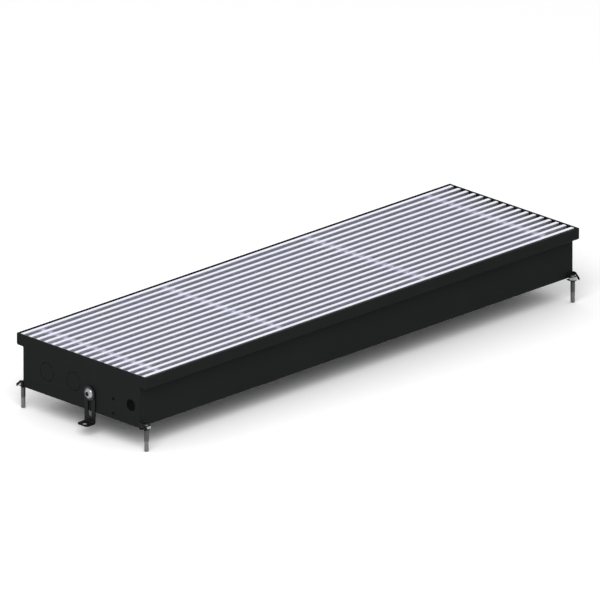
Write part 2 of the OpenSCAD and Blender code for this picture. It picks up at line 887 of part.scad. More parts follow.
// Folded bracket that carries both tubes. Its flanges point towards the nearer end plate
module exchanger_bracket(face_x, way) {
    flange = [min(face_x, face_x + way * bracket_flange), max(face_x, face_x + way * bracket_flange)];
    plate = [min(face_x, face_x - way * bracket_t), max(face_x, face_x - way * bracket_t)];
    y0 = bracket_side_y;
    y1 = bracket_side_y + bracket_w;
    color([0.70, 0.72, 0.74])
        difference() {
            union() {
                block(plate, [y0, y1], [floor_z, fin_z1]);
                block(flange, [y0, y1], [floor_z, floor_z + bracket_t]);
                block(flange, [y0, y0 + bracket_t], [floor_z, fin_z1]);
            }
            at_tubes()
                rod_x_way(2 * (grommet_r + fit_gap), plate[0] - cut_over, plate[1] + cut_over);
            at_rivets()
                translate([0, 0, floor_z - cut_over])
                    cylinder(d = rivet_d + 2 * fit_gap, h = bracket_t + 2 * cut_over, $fn = arc_fn);
        }
}

module at_rivets() {
    for (
        x = [near_plate_x - bracket_flange / 2, far_plate_x + bracket_flange / 2],
        y = [bracket_side_y + rivet_inset, bracket_side_y + bracket_w - rivet_inset]
    )
        translate([x, y, 0])
            children();
}

// Rivets with tails that lie flush under the casing
module bracket_rivets() {
    color([0.70, 0.71, 0.73])
        at_rivets()
            union() {
                translate([0, 0, base_z])
                    cylinder(d = rivet_d, h = sheet_t + bracket_t, $fn = arc_fn);
                translate([0, 0, floor_z + bracket_t])
                    cylinder(d1 = rivet_head_d, d2 = rivet_d, h = rivet_head_h, $fn = arc_fn);
            }
}

module tube_grommet(x0, x1) {
    tube_hole_r = tube_d / 2 + fit_gap;
    difference() {
        union() {
            rod_x_way(2 * grommet_r, x0, x1);
            rod_x_way(2 * (grommet_r + grommet_lip), x0 - lip_reach, x0 - fit_gap);
            rod_x_way(2 * (grommet_r + grommet_lip), x1 + fit_gap, x1 + lip_reach);
            rod_x_way(2 * grommet_r, x0 - lip_reach, x1 + lip_reach);
        }
        rod_x_way(2 * tube_hole_r, x0 - lip_reach - cut_over, x1 + lip_reach + cut_over);
    }
}

module tube_grommets() {
    color([0.10, 0.10, 0.10])
        at_tubes() {
            tube_grommet(near_plate_x, near_plate_x + bracket_t);
            tube_grommet(far_plate_x - bracket_t, far_plate_x);
        }
}

module air_baffle() {
    color([0.70, 0.72, 0.74])
        block(
            [near_plate_x - bracket_flange, far_plate_x + bracket_flange],
            [bracket_side_y - baffle_t, bracket_side_y],
            [floor_z + baffle_rise, fin_z1]
        );
}

// Valves

module union_nuts() {
    color([0.76, 0.74, 0.68])
        at_tubes()
            difference() {
                translate([union_x0, 0, 0])
                    rotate([0, 90, 0])
                        turned_hexagon(union_af, union_l);
                rod_x_way(tube_d + 2 * fit_gap, union_x0 - cut_over, union_x0 + union_l + cut_over);
                rod_x_way(valve_neck_d + 2 * fit_gap, union_x0 - cut_over, tube_x0);
            }
}

module valve_body(y) {
    neck_x1 = tube_x0 - fit_gap;
    color([0.76, 0.74, 0.68])
        translate([0, y, tube_z])
            difference() {
                union() {
                    rod_x_way(valve_neck_d, spindle_x, neck_x1);
                    translate([spindle_x, 0, 0])
                        sphere(d = valve_chamber_d, $fn = arc_fn);
                    translate([outlet_x, 0, 0])
                        rotate([0, 90, 0])
                            turned_hexagon(outlet_af, outlet_l);
                    rod_x_way(valve_neck_d, outlet_x + outlet_l / 2, spindle_x);
                    translate([spindle_x, 0, 0])
                        cylinder(d = bonnet_d, h = bonnet_rise, $fn = arc_fn);
                }
                rod_x_way(valve_bore_d, outlet_x - cut_over, neck_x1 + cut_over);
                rod_x_way(outlet_bore_d, outlet_x - cut_over, outlet_x + outlet_depth);
                translate([spindle_x, 0, bonnet_rise - spindle_l])
                    cylinder(d = spindle_d, h = spindle_l + cut_over, $fn = arc_fn);
            }
}

// Cap that turns on the bonnet, with a spindle in its middle
module valve_cap(y, d) {
    skirt_z = bonnet_z - cap_skirt;
    translate([spindle_x, y, 0])
        union() {
            difference() {
                translate([0, 0, skirt_z])
                    cylinder(d = d, h = cap_top - skirt_z, $fn = arc_fn);
                translate([0, 0, skirt_z - cut_over])
                    cylinder(
                        d = bonnet_d + 2 * seat_gap,
                        h = cap_skirt + cut_over + seat_gap, $fn = arc_fn
                    );
            }
            translate([0, 0, bonnet_z - spindle_l + seat_gap])
                cylinder(d = spindle_d - 2 * fit_gap, h = spindle_l + seat_gap, $fn = arc_fn);
        }
}

module supply_valve_cap() {
    color([0.90, 0.90, 0.89])
        difference() {
            valve_cap(supply_y, hand_cap_d);
            for (k = [0 : flute_count - 1])
                translate([spindle_x, supply_y, bonnet_z - cap_skirt - cut_over])
                    rotate([0, 0, 360 * k / flute_count])
                        translate([hand_cap_d / 2, 0, 0])
                            cylinder(d = flute_d, h = cap_top - bonnet_z + cap_skirt + 2 * cut_over, $fn = arc_fn);
        }
}

module return_valve_cap() {
    color([0.20, 0.20, 0.21])
        valve_cap(return_y, shield_cap_d);
}

// Names of the nodes
two_digits = [for (i = [1 : bar_count]) i < 10 ? str("0", i) : str(i)];

trench_channel();
end_plate_connection();
end_plate_blind();
cross_brace(-brace_offset);  // cross_brace_connection
cross_brace(brace_offset);  // cross_brace_blind
damping_strip(-1);  // damping_strip_room
damping_strip(1);  // damping_strip_window
levelling_lugs();
at_anchor(-1, 0) anchor_bracket();  // anchor_bracket_connection
at_anchor(1, 0) anchor_bracket();  // anchor_bracket_blind
color([0.80, 0.81, 0.82]) both_anchors() anchor_bolt();  // anchor_bolts
color([0.12, 0.12, 0.12]) both_anchors() anchor_washer();  // anchor_washers
color([0.70, 0.71, 0.73]) both_anchors() anchor_nut();  // anchor_nuts
spacer_sleeves();
fin_pack();
tube_piece(supply_y);  // supply_tube
tube_piece(return_y);  // return_tube
return_bend();
exchanger_bracket(near_plate_x, -1);  // exchanger_bracket_connection
exchanger_bracket(far_plate_x, 1);  // exchanger_bracket_blind
tube_grommets();
bracket_rivets();
air_baffle();
valve_body(supply_y);  // supply_valve_body
valve_body(return_y);  // return_valve_body
union_nuts();
supply_valve_cap();
return_valve_cap();
air_vent_body();
air_vent_screw();
for (i = [0 : len(corner_names) - 1]) {
    levelling_nut(i);
    levelling_stud(i);
}
for (i = [0 : bar_count - 1])
    grille_bar(i);
for (k = [0 : rod_count - 1])
    cross_rod(k);
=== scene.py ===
"""Looks of the trench convector heater: its finishes, its eased edges and the fine forms of its pieces."""

import math
from functools import cache

import bmesh
import bpy
from bpy.props import FloatProperty, FloatVectorProperty, IntProperty, PointerProperty
from mathutils import Matrix, Vector


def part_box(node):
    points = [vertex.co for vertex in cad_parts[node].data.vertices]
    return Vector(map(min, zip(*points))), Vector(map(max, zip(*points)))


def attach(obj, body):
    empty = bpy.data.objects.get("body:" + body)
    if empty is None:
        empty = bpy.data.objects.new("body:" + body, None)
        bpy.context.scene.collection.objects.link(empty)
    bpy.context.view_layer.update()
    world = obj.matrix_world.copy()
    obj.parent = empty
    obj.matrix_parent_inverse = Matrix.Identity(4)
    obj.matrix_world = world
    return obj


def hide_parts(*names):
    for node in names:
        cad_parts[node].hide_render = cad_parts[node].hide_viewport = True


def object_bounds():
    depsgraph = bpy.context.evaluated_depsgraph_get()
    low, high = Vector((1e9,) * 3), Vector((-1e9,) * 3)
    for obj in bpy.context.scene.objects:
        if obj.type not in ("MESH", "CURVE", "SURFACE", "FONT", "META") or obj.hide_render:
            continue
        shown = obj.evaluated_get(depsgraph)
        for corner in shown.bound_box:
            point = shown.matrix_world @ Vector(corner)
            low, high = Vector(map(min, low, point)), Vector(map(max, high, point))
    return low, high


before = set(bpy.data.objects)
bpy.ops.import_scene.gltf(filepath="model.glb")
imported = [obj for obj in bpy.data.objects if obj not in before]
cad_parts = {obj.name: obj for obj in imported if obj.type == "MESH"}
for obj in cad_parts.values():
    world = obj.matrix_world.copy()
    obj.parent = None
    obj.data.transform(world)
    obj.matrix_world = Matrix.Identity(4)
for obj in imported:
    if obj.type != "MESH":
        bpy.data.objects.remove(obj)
cad_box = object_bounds()

bl_info = {
    "name": "Trench Convector Heater",
    "version": (1, 0, 0),
    "blender": (4, 5, 0),
    "location": "3D View > Sidebar > Heater",
    "description": "Dresses the parts of a floor trench heater under a lift-out bar grille",
    "category": "Object",
}

MM = 0.001
TURN = 2 * math.pi
CORNERS = ("connection_room", "connection_window", "blind_room", "blind_window")
ENDS = ("connection", "blind")
FLOWS = ("supply", "return")
BAR_COUNT = 17
ROD_COUNT = 4

# Vertices nearer than this are one vertex
WELD = 0.002 * MM
# Faces that lie flatter than this to each other are one face
FLAT_ANGLE = math.radians(0.5)
# Edges sharper than this are rounded, and stay sharp in the shading
SHARP_ANGLE = math.radians(31)
# Segments of a lathe-turned piece, and of a small one that repeats
ROUND = 64
SMALL_ROUND = 24
QUARTER = TURN / 4
# Turn that lays a piece drawn flat along the world's X axis, with its own Y axis upwards
UPRIGHT = (QUARTER, 0, QUARTER)
# Length of a drill, more than what it bores through
DRILL_LENGTH = 50 * MM
# Slope of the corners turned off a nut
NUT_SLOPE = math.tan(math.radians(30))
# How far under the heater's feet the floor lies
FLOOR_DROP = 0.1 * MM
# The key lamp stands here, in metres, and is this wide
KEY_PLACE = (-2.2, -1.6, 2.6)
KEY_WIDTH = 2.4


def amount(name, description, value, **kind):
    """A property that may be anything from none upwards."""
    return FloatProperty(name=name, description=description, default=value, min=0, **kind)


def length(name, description, millimetres):
    """A length property, with its default in millimetres."""
    return amount(name, description, millimetres * MM, unit="LENGTH", precision=5)


def share(name, description, value):
    """A property without a unit that runs from none to all."""
    return amount(name, description, value, max=1, subtype="FACTOR")


def angle(name, description, degrees):
    """An angle property, with its default in degrees."""
    return FloatProperty(name=name, description=description, default=math.radians(degrees), subtype="ANGLE")


def count(name, description, value):
    """A property for a number of like pieces."""
    return IntProperty(name=name, description=description, default=value, min=1)


def screen_colour(red, green, blue):
    """Turns screen values from 0 to 255 into the linear colour that renders as them."""
    values = [level / 255 for level in (red, green, blue)]
    return tuple(v / 12.92 if v <= 0.04045 else ((v + 0.055) / 1.055) ** 2.4 for v in values)


def colour(name, description, red, green, blue):
    """A colour property, with its default in screen values from 0 to 255."""
    return FloatVectorProperty(
        name=name, description=description, default=screen_colour(red, green, blue),
        min=0, max=1, subtype="COLOR",
    )


class CasingSettings(bpy.types.PropertyGroup):
    """Sizes and colours of the folded casing, its end plates, lugs and anchors"""

    coat: colour("Coat", "Black powder coat of the casing", 28, 32, 31)
    coat_drift: colour("Coat drift", "Tone that the powder coat drifts to", 33, 36, 35)
    coat_edge: colour("Coat edge", "Tone of the powder coat along its edges", 8, 9, 9)
    bracket_coat: colour("Bracket coat", "Black dip coat of the lugs and anchor brackets", 12, 13, 13)
    bracket_drift: colour("Bracket drift", "Tone that the dip coat drifts to", 18, 19, 19)
    foam: colour("Foam", "Damping strips on the ledges", 26, 26, 27)
    peel: length("Peel", "Size of the dimples in the powder coat", 0.7)
    plate_ease: length("Plate ease", "Rounding of the edges of the end plates", 0.3)
    lug_ease: length("Lug ease", "Rounding of the edges of the lugs and brackets", 0.25)


class GrilleSettings(bpy.types.PropertyGroup):
    """Sizes and colours of the bars, rods and spacer sleeves"""

    anodised: colour("Anodised", "Clear anodised aluminium of the bars", 248, 249, 255)
    anodised_drift: colour("Anodised drift", "Tone that the drawn lines of the bars drift to", 232, 233, 246)
    sleeve: colour("Sleeve", "Turned aluminium of the spacer sleeves", 172, 173, 188)
    rod: colour("Rod", "Drawn steel of the cross rods", 176, 178, 184)
    arris: length("Arris", "Rounding along the top edges of a bar", 0.3)
    foot_height: length("Foot height", "Height of the tapered foot of a bar", 2)
    foot_width: length("Foot width", "Width of the underside of a bar", 5)
    bore_gap: length("Bore gap", "Clearance round a rod in its bore", 0.05)
    rod_chamfer: length("Rod chamfer", "Chamfer at the ends of a rod", 0.5)
    sleeve_diameter: length("Sleeve diameter", "Outer diameter of a spacer sleeve", 11)
    sleeve_ease: length("Sleeve ease", "Rounding of the edges of a spacer sleeve", 0.3)


class LevellingSettings(bpy.types.PropertyGroup):
    """Sizes and colours of the studs and nuts that level the casing"""

    stud: colour("Stud", "Plain steel of the studs", 122, 122, 124)
    zinc: colour("Zinc", "Zinc plating of the nuts, bolts and rivets", 168, 170, 174)
    # Painted shade: this dark tone goes down in the bolts' sockets and stands for the shade in their hollows
    socket: colour("Socket", "Grease and shade down in the sockets of the bolts", 22, 22, 23)
    socket_reach: length("Socket reach", "Radius that takes in the socket of a bolt", 4.4)
    socket_mouth: length("Socket mouth", "How far down in the dome the socket begins", 0.55)
    pitch: length("Pitch", "Rise of the thread in one turn", 1.25)
    thread_depth: length("Thread depth", "Depth of the thread", 0.62)
    foot_height: length("Foot height", "Height of the plain foot under the thread", 17)
    foot_inset: length("Foot inset", "How far the plain foot lies inside the thread", 0.4)
    tip_chamfer: length("Tip chamfer", "Chamfer at the ends of a stud", 0.8)
    bore_gap: length("Bore gap", "Clearance between a nut and its thread", 0.05)
    mouth_chamfer: length("Mouth chamfer", "Chamfer round the bore of a nut", 0.45)
    face_share: share("Face share", "Flat face of a nut as a share of its width across the flats", 0.95)


class ExchangerSettings(bpy.types.PropertyGroup):
    """Sizes and colours of the finned heat exchanger"""

    fin: colour("Fin", "Rolled aluminium of the fins", 205, 208, 212)
    copper: colour("Copper", "Copper tubes", 196, 118, 84)
    copper_tarnish: colour("Copper tarnish", "Copper darkened by handling and heat", 128, 70, 50)
    heat_length: length("Heat length", "Length of the tubes that the brazing darkens", 25)
    braze: colour("Braze", "Brazing metal round the bend", 186, 156, 104)
    braze_size: length("Braze size", "Size of the fillets of brazing metal round the bend", 1.05)
    galvanised: colour("Galvanised", "Galvanised sheet of the brackets and the baffle", 158, 163, 168)
    rubber: colour("Rubber", "Rubber grommets and washers", 24, 24, 25)
    fins: count("Fins", "Number of fins", 91)
    fin_thickness: length("Fin thickness", "Thickness of a fin", 0.5)
    ripple: length("Ripple", "Depth of the ripples rolled into a fin", 0.45)
    ripples: count("Ripples", "Number of ripples across a fin", 6)
    collar_wall: length("Collar wall", "Wall of the collars that space the fins", 1.2)
    collar_gap: length("Collar gap", "Gap between a collar and the next fin", 0.4)
    tube_gap: length("Tube gap", "Clearance between a collar and its tube", 0.05)


class ValveSettings(bpy.types.PropertyGroup):
    """Sizes and colours of the valves, their caps and the air vent"""

    nickel: colour("Nickel", "Nickel plating of the valves and union nuts", 190, 186, 176)
    brass: colour("Brass", "Bare brass of the air vent", 198, 168, 100)
    hand_cap: colour("Hand cap", "Moulded cap of the supply valve", 226, 226, 222)
    shield_cap: colour("Shield cap", "Moulded cap of the return valve", 74, 76, 80)
    ease: length("Ease", "Rounding of the edges of the valves", 0.3)


class StageSettings(bpy.types.PropertyGroup):
    """The photographer's side: camera, lamps and floor"""

    azimuth: angle("Azimuth", "Camera direction round the heater", -44.874)
    elevation: angle("Elevation", "Camera height above the horizon", 20.366)
    lens: amount("Lens", "Focal length of the long lens", 1700, subtype="DISTANCE_CAMERA")
    view_width: length("View width", "Width that the picture shows at the heater", 979.9)
    aim_along: length("Aim along", "Middle of the picture short of the heater's middle, along it", 65.2)
    aim_across: length("Aim across", "Middle of the picture short of the heater's middle, across it", 67.0)
    floor_size: length("Floor size", "Width of the floor", 12000)
    floor_tone: share("Floor tone", "How much light the floor gives back to the heater", 0.5)
    floor_gain: amount("Floor gain", "Lift that turns the open floor white in the picture", 1.2)
    zenith: amount("Zenith", "Light of the dome overhead", 0.72)
    horizon: amount("Horizon", "Light of the dome at the horizon", 0.72)
    key_power: amount("Key power", "Power of the soft lamp", 60, unit="POWER")


SETTINGS = {
    "heater_casing": CasingSettings,
    "heater_grille": GrilleSettings,
    "heater_levelling": LevellingSettings,
    "heater_exchanger": ExchangerSettings,
    "heater_valves": ValveSettings,
    "heater_stage": StageSettings,
}


def add(tree, kind, inputs=None, **options):
    """Adds a node with its options set, and fills or wires its inputs."""
    made = tree.nodes.new(kind)
    for option, value in options.items():
        setattr(made, option, value)
    for key, value in (inputs or {}).items():
        socket = made.inputs[key]
        if isinstance(value, bpy.types.NodeSocket):
            tree.links.new(value, socket)
        else:
            socket.default_value = value
    return made


def first(tree, kind, inputs=None, **options):
    """Adds a node and returns its first output."""
    return add(tree, kind, inputs, **options).outputs[0]


def maths(tree, operation, *values):
    """Adds a Math node and returns its result."""
    return first(tree, "ShaderNodeMath", dict(enumerate(values)), operation=operation)


def vector(tree, x=0.0, y=0.0, z=0.0):
    """Puts three numbers together as a vector."""
    return first(tree, "ShaderNodeCombineXYZ", {0: x, 1: y, 2: z})


def vector_maths(tree, operation, *values):
    """Adds a Vector Math node and returns its vector."""
    return first(tree, "ShaderNodeVectorMath", dict(enumerate(values)), operation=operation)


def object_place(tree):
    """The place on an object, in metres."""
    return add(tree, "ShaderNodeTexCoord").outputs["Object"]


def noise(tree, place, scale, detail, output=0, **more):
    """Soft noise at a place."""
    inputs = {"Vector": place, "Scale": scale, "Detail": detail, **more}
    return add(tree, "ShaderNodeTexNoise", inputs).outputs[output]


def less(tree, factor, value):
    """One less a product."""
    return maths(tree, "SUBTRACT", 1.0, maths(tree, "MULTIPLY", factor, value))


def mix_colours(tree, factor, base, other):
    """Mixes two colours by a factor and returns the result."""
    mixed = add(tree, "ShaderNodeMix", {0: factor, 6: base, 7: other}, data_type="RGBA")
    return mixed.outputs[2]


def spread(tree, value, low, high, new_low=0.0, new_high=1.0):
    """Maps a value from one range to another, kept inside it."""
    inputs = {"Value": value, "From Min": low, "From Max": high, "To Min": new_low, "To Max": new_high}
    return first(tree, "ShaderNodeMapRange", inputs)


def feed(tree, sockets, **values):
    """Wires values to the sockets of their names, with an underscore for each space."""
    for name, value in values.items():
        tree.links.new(value, sockets[name.replace("_", " ")])


def opaque(rgb):
    """A colour with full alpha, as sockets take it."""
    return (*rgb, 1)


def new_group(name, kind, inputs, outputs):
    """Starts a node group with named sockets, and returns it with its two end nodes."""
    tree = bpy.data.node_groups.new(name, kind)
    for label, (socket, value) in inputs.items():
        made = tree.interface.new_socket(label, in_out="INPUT", socket_type="NodeSocket" + socket)
        if value is not None:
            made.default_value = value
    for label, socket in outputs.items():
        tree.interface.new_socket(label, in_out="OUTPUT", socket_type="NodeSocket" + socket)
    return tree, tree.nodes.new("NodeGroupInput").outputs, tree.nodes.new("NodeGroupOutput").inputs


# The middle part of a noise, which is spread over the whole range: of a fine one and of a slow one
GRAIN_RANGE = (0.3, 0.7)
DRIFT_RANGE = (0.35, 0.65)


@cache
def fine_surface():
    """The group for grain and drift: fine dimples or drawn lines over a slow change of tone."""
    inputs = {
        "Tone": ("Color", (0.5, 0.5, 0.5, 1)),
        "Drift Tone": ("Color", (0.6, 0.6, 0.6, 1)),
        "Grain Scale": ("Vector", (1000, 1000, 1000)),
        "Drift Scale": ("Float", 12.0),
        "Grain Share": ("Float", 0.3),
        "Roughness": ("Float", 0.5),
        "Swing": ("Float", 0.1),
    }
    outputs = {"Color": "Color", "Roughness": "Float", "Height": "Float"}
    tree, given, result = new_group("Fine surface", "ShaderNodeTree", inputs, outputs)
    place = object_place(tree)
    stretched = vector_maths(tree, "MULTIPLY", place, given["Grain Scale"])
    grain = noise(tree, stretched, scale=1.0, detail=3.0)
    drift = noise(tree, place, given["Drift Scale"], detail=4.0, Roughness=0.6)
    even_grain = spread(tree, grain, *GRAIN_RANGE)
    even_drift = spread(tree, drift, *DRIFT_RANGE)
    both = first(tree, "ShaderNodeMix", {0: given["Grain Share"], 2: even_drift, 3: even_grain})
    tone = mix_colours(tree, both, given["Tone"], given["Drift Tone"])
    swing = maths(tree, "MULTIPLY", maths(tree, "SUBTRACT", both, 0.5), given["Swing"])
    feed(tree, result, Color=tone, Roughness=maths(tree, "ADD", given["Roughness"], swing), Height=grain)
    return tree


# How nearly the rounded normal meets the true one where an edge begins, and where it is full
EDGE_FACING = (0.995, 0.8)
# Patches to a metre that break up the mask of the edges
EDGE_PATCHES = 160.0


@cache
def edge_mask():
    """The group that finds the edges: full where a rounded normal leaves the true one."""
    inputs = {"Radius": ("Float", 0.5 * MM), "Break Up": ("Float", 0.5)}
    tree, given, result = new_group("Edge mask", "ShaderNodeTree", inputs, {"Mask": "Float"})
    rounded = first(tree, "ShaderNodeBevel", {"Radius": given["Radius"]}, samples=6)
    true_normal = add(tree, "ShaderNodeNewGeometry").outputs["Normal"]
    both = {0: rounded, 1: true_normal}
    facing = add(tree, "ShaderNodeVectorMath", both, operation="DOT_PRODUCT").outputs[1]
    edge = spread(tree, facing, *EDGE_FACING)
    patches = spread(tree, noise(tree, object_place(tree), EDGE_PATCHES, detail=5.0), *DRIFT_RANGE)
    kept = less(tree, given["Break Up"], patches)
    feed(tree, result, Mask=maths(tree, "MULTIPLY", edge, kept))
    return tree


# How far the edges of the zinc crystals bend
CRYSTAL_WARP = 6 * MM
# How much rougher the darkest crystal is than the palest
CRYSTAL_SWING = 0.22


@cache
def spangle():
    """The group for hot-dip zinc: flat crystals, each with its own tone and shine."""
    inputs = {
        "Tone": ("Color", (0.5, 0.5, 0.5, 1)),
        "Crystal Size": ("Float", 8 * MM),
        "Contrast": ("Float", 0.35),
        "Roughness": ("Float", 0.4),
    }
    outputs = {"Color": "Color", "Roughness": "Float", "Height": "Float"}
    tree, given, result = new_group("Zinc spangle", "ShaderNodeTree", inputs, outputs)
    place = object_place(tree)
    scale = maths(tree, "DIVIDE", 1.0, given["Crystal Size"])
    warp = noise(tree, place, scale, detail=2.0, output="Color")
    bent = vector_maths(tree, "ADD", place, vector_maths(tree, "MULTIPLY", warp, (CRYSTAL_WARP,) * 3))
    cells = add(tree, "ShaderNodeTexVoronoi", {"Vector": bent, "Scale": scale})
    level = first(tree, "ShaderNodeSeparateColor", {0: cells.outputs["Color"]})
    dark = less(tree, level, given["Contrast"])
    shade = first(tree, "ShaderNodeCombineColor", {0: dark, 1: dark, 2: dark})
    toned = add(
        tree, "ShaderNodeMix", {0: 1.0, 6: given["Tone"], 7: shade}, data_type="RGBA", blend_type="MULTIPLY"
    )
    rough = maths(tree, "ADD", given["Roughness"], maths(tree, "MULTIPLY", level, CRYSTAL_SWING))
    feed(tree, result, Color=toned.outputs[2], Roughness=rough, Height=level)
    return tree


# Clouds of stain to a metre
CLOUDS = 38.0
# The part of the clouds that stains, and how much it stains
STAIN = (0.45, 0.75, 0.0, 0.7)
# How much the heat darkens the end of the tubes, and the part of the clouds that makes it uneven
HEAT_SHARE = 0.8
HEAT_CLOUD = (0.3, 0.6, 0.6, 1.0)


@cache
def tarnish():
    """The group for bare copper: soft stains, and darkening towards the brazed bend."""
    inputs = {
        "Tone": ("Color", (0.5, 0.3, 0.2, 1)),
        "Stain": ("Color", (0.2, 0.1, 0.1, 1)),
        "Heat Start": ("Float", 0.3),
        "Heat End": ("Float", 0.4),
    }
    tree, given, result = new_group("Tarnish", "ShaderNodeTree", inputs, {"Color": "Color", "Mask": "Float"})
    place = object_place(tree)
    cloud = noise(tree, place, CLOUDS, detail=6.0)
    stains = spread(tree, cloud, *STAIN)
    x_place = first(tree, "ShaderNodeSeparateXYZ", {0: place})
    heat = spread(tree, x_place, given["Heat Start"], given["Heat End"], 0.0, HEAT_SHARE)
    uneven = maths(tree, "MULTIPLY", heat, spread(tree, cloud, *HEAT_CLOUD))
    mask = maths(tree, "MAXIMUM", stains, uneven)
    feed(tree, result, Color=mix_colours(tree, mask, given["Tone"], given["Stain"]), Mask=mask)
    return tree


@cache
def painted_socket_shade_mask():
    """The group that finds the sockets of the bolts, where shade is painted: full near the axis and deeper
    than the mouth.
    """
    inputs = {"Axis": ("Vector", (0, 0, 0)), "Reach": ("Float", 4 * MM), "Mouth": ("Float", 0.5)}
    tree, given, result = new_group("Socket mask", "ShaderNodeTree", inputs, {"Mask": "Float"})
    place = object_place(tree)
    away = vector_maths(tree, "SUBTRACT", place, given["Axis"])
    parts = add(tree, "ShaderNodeSeparateXYZ", {0: away}).outputs
    off_axis = vector(tree, y=parts[1], z=parts[2])
    radius = add(tree, "ShaderNodeVectorMath", {0: off_axis}, operation="LENGTH").outputs[1]
    near = maths(tree, "LESS_THAN", radius, given["Reach"])
    deep = maths(tree, "LESS_THAN", maths(tree, "ABSOLUTE", parts[0]), given["Mouth"])
    feed(tree, result, Mask=maths(tree, "MULTIPLY", near, deep))
    return tree


def place_group(tree, group, values):
    """Places a shader group with its own values and returns its outputs."""
    return add(tree, "ShaderNodeGroup", values, node_tree=group).outputs


def new_material(name, constants):
    """Starts a material and sets the shader's own sockets that stay the same all over."""
    material = bpy.data.materials.new(name)
    material.use_nodes = True
    shader = material.node_tree.nodes["Principled BSDF"]
    for socket, value in constants.items():
        shader.inputs[socket].default_value = value
    return material, material.node_tree, shader.inputs


def add_bump(tree, sockets, height, depth):
    """Feeds a height to the shader's normal, with its depth in metres."""
    bump = add(tree, "ShaderNodeBump", {"Height": height, "Distance": depth, "Strength": 1.0})
    tree.links.new(bump.outputs[0], sockets["Normal"])


def settings(part):
    """The settings of one part of the heater."""
    return getattr(bpy.context.scene, "heater_" + part)


def grain_scale(s, grain):
    """Scale of a grain along the three axes, from the name of a length or from millimetres."""
    sizes = getattr(s, grain) / MM if isinstance(grain, str) else grain
    sizes = sizes if isinstance(sizes, tuple) else (sizes,) * 3
    return tuple(1 / (size * MM) for size in sizes)


def drift_tone(s, tone, drift):
    """The tone that a finish drifts to, from its name or from its share of the main tone."""
    return getattr(s, drift) if isinstance(drift, str) else tuple(min(1, drift * level) for level in tone)


def grained(name, part, tone, drift, grain, roughness, swing, depth, edge=None, grain_share=0.3, **constants):
    """A material of one tone with grain and drift, and a lighter or darker tone along its edges."""
    s = settings(part)
    pure = getattr(s, tone)
    constants = {key.replace("_", " "): value for key, value in constants.items()}
    material, tree, sockets = new_material(name, constants)
    values = {
        "Tone": opaque(pure), "Drift Tone": opaque(drift_tone(s, pure, drift)),
        "Grain Scale": grain_scale(s, grain), "Grain Share": grain_share,
        "Roughness": roughness, "Swing": swing,
    }
    surface = place_group(tree, fine_surface(), values)
    base = surface["Color"]
    if edge:
        mask = place_group(tree, edge_mask(), {})["Mask"]
        base = mix_colours(tree, mask, base, opaque(getattr(s, edge)))
    feed(tree, sockets, Base_Color=base, Roughness=surface["Roughness"])
    add_bump(tree, sockets, surface["Height"], depth * MM)
    return material


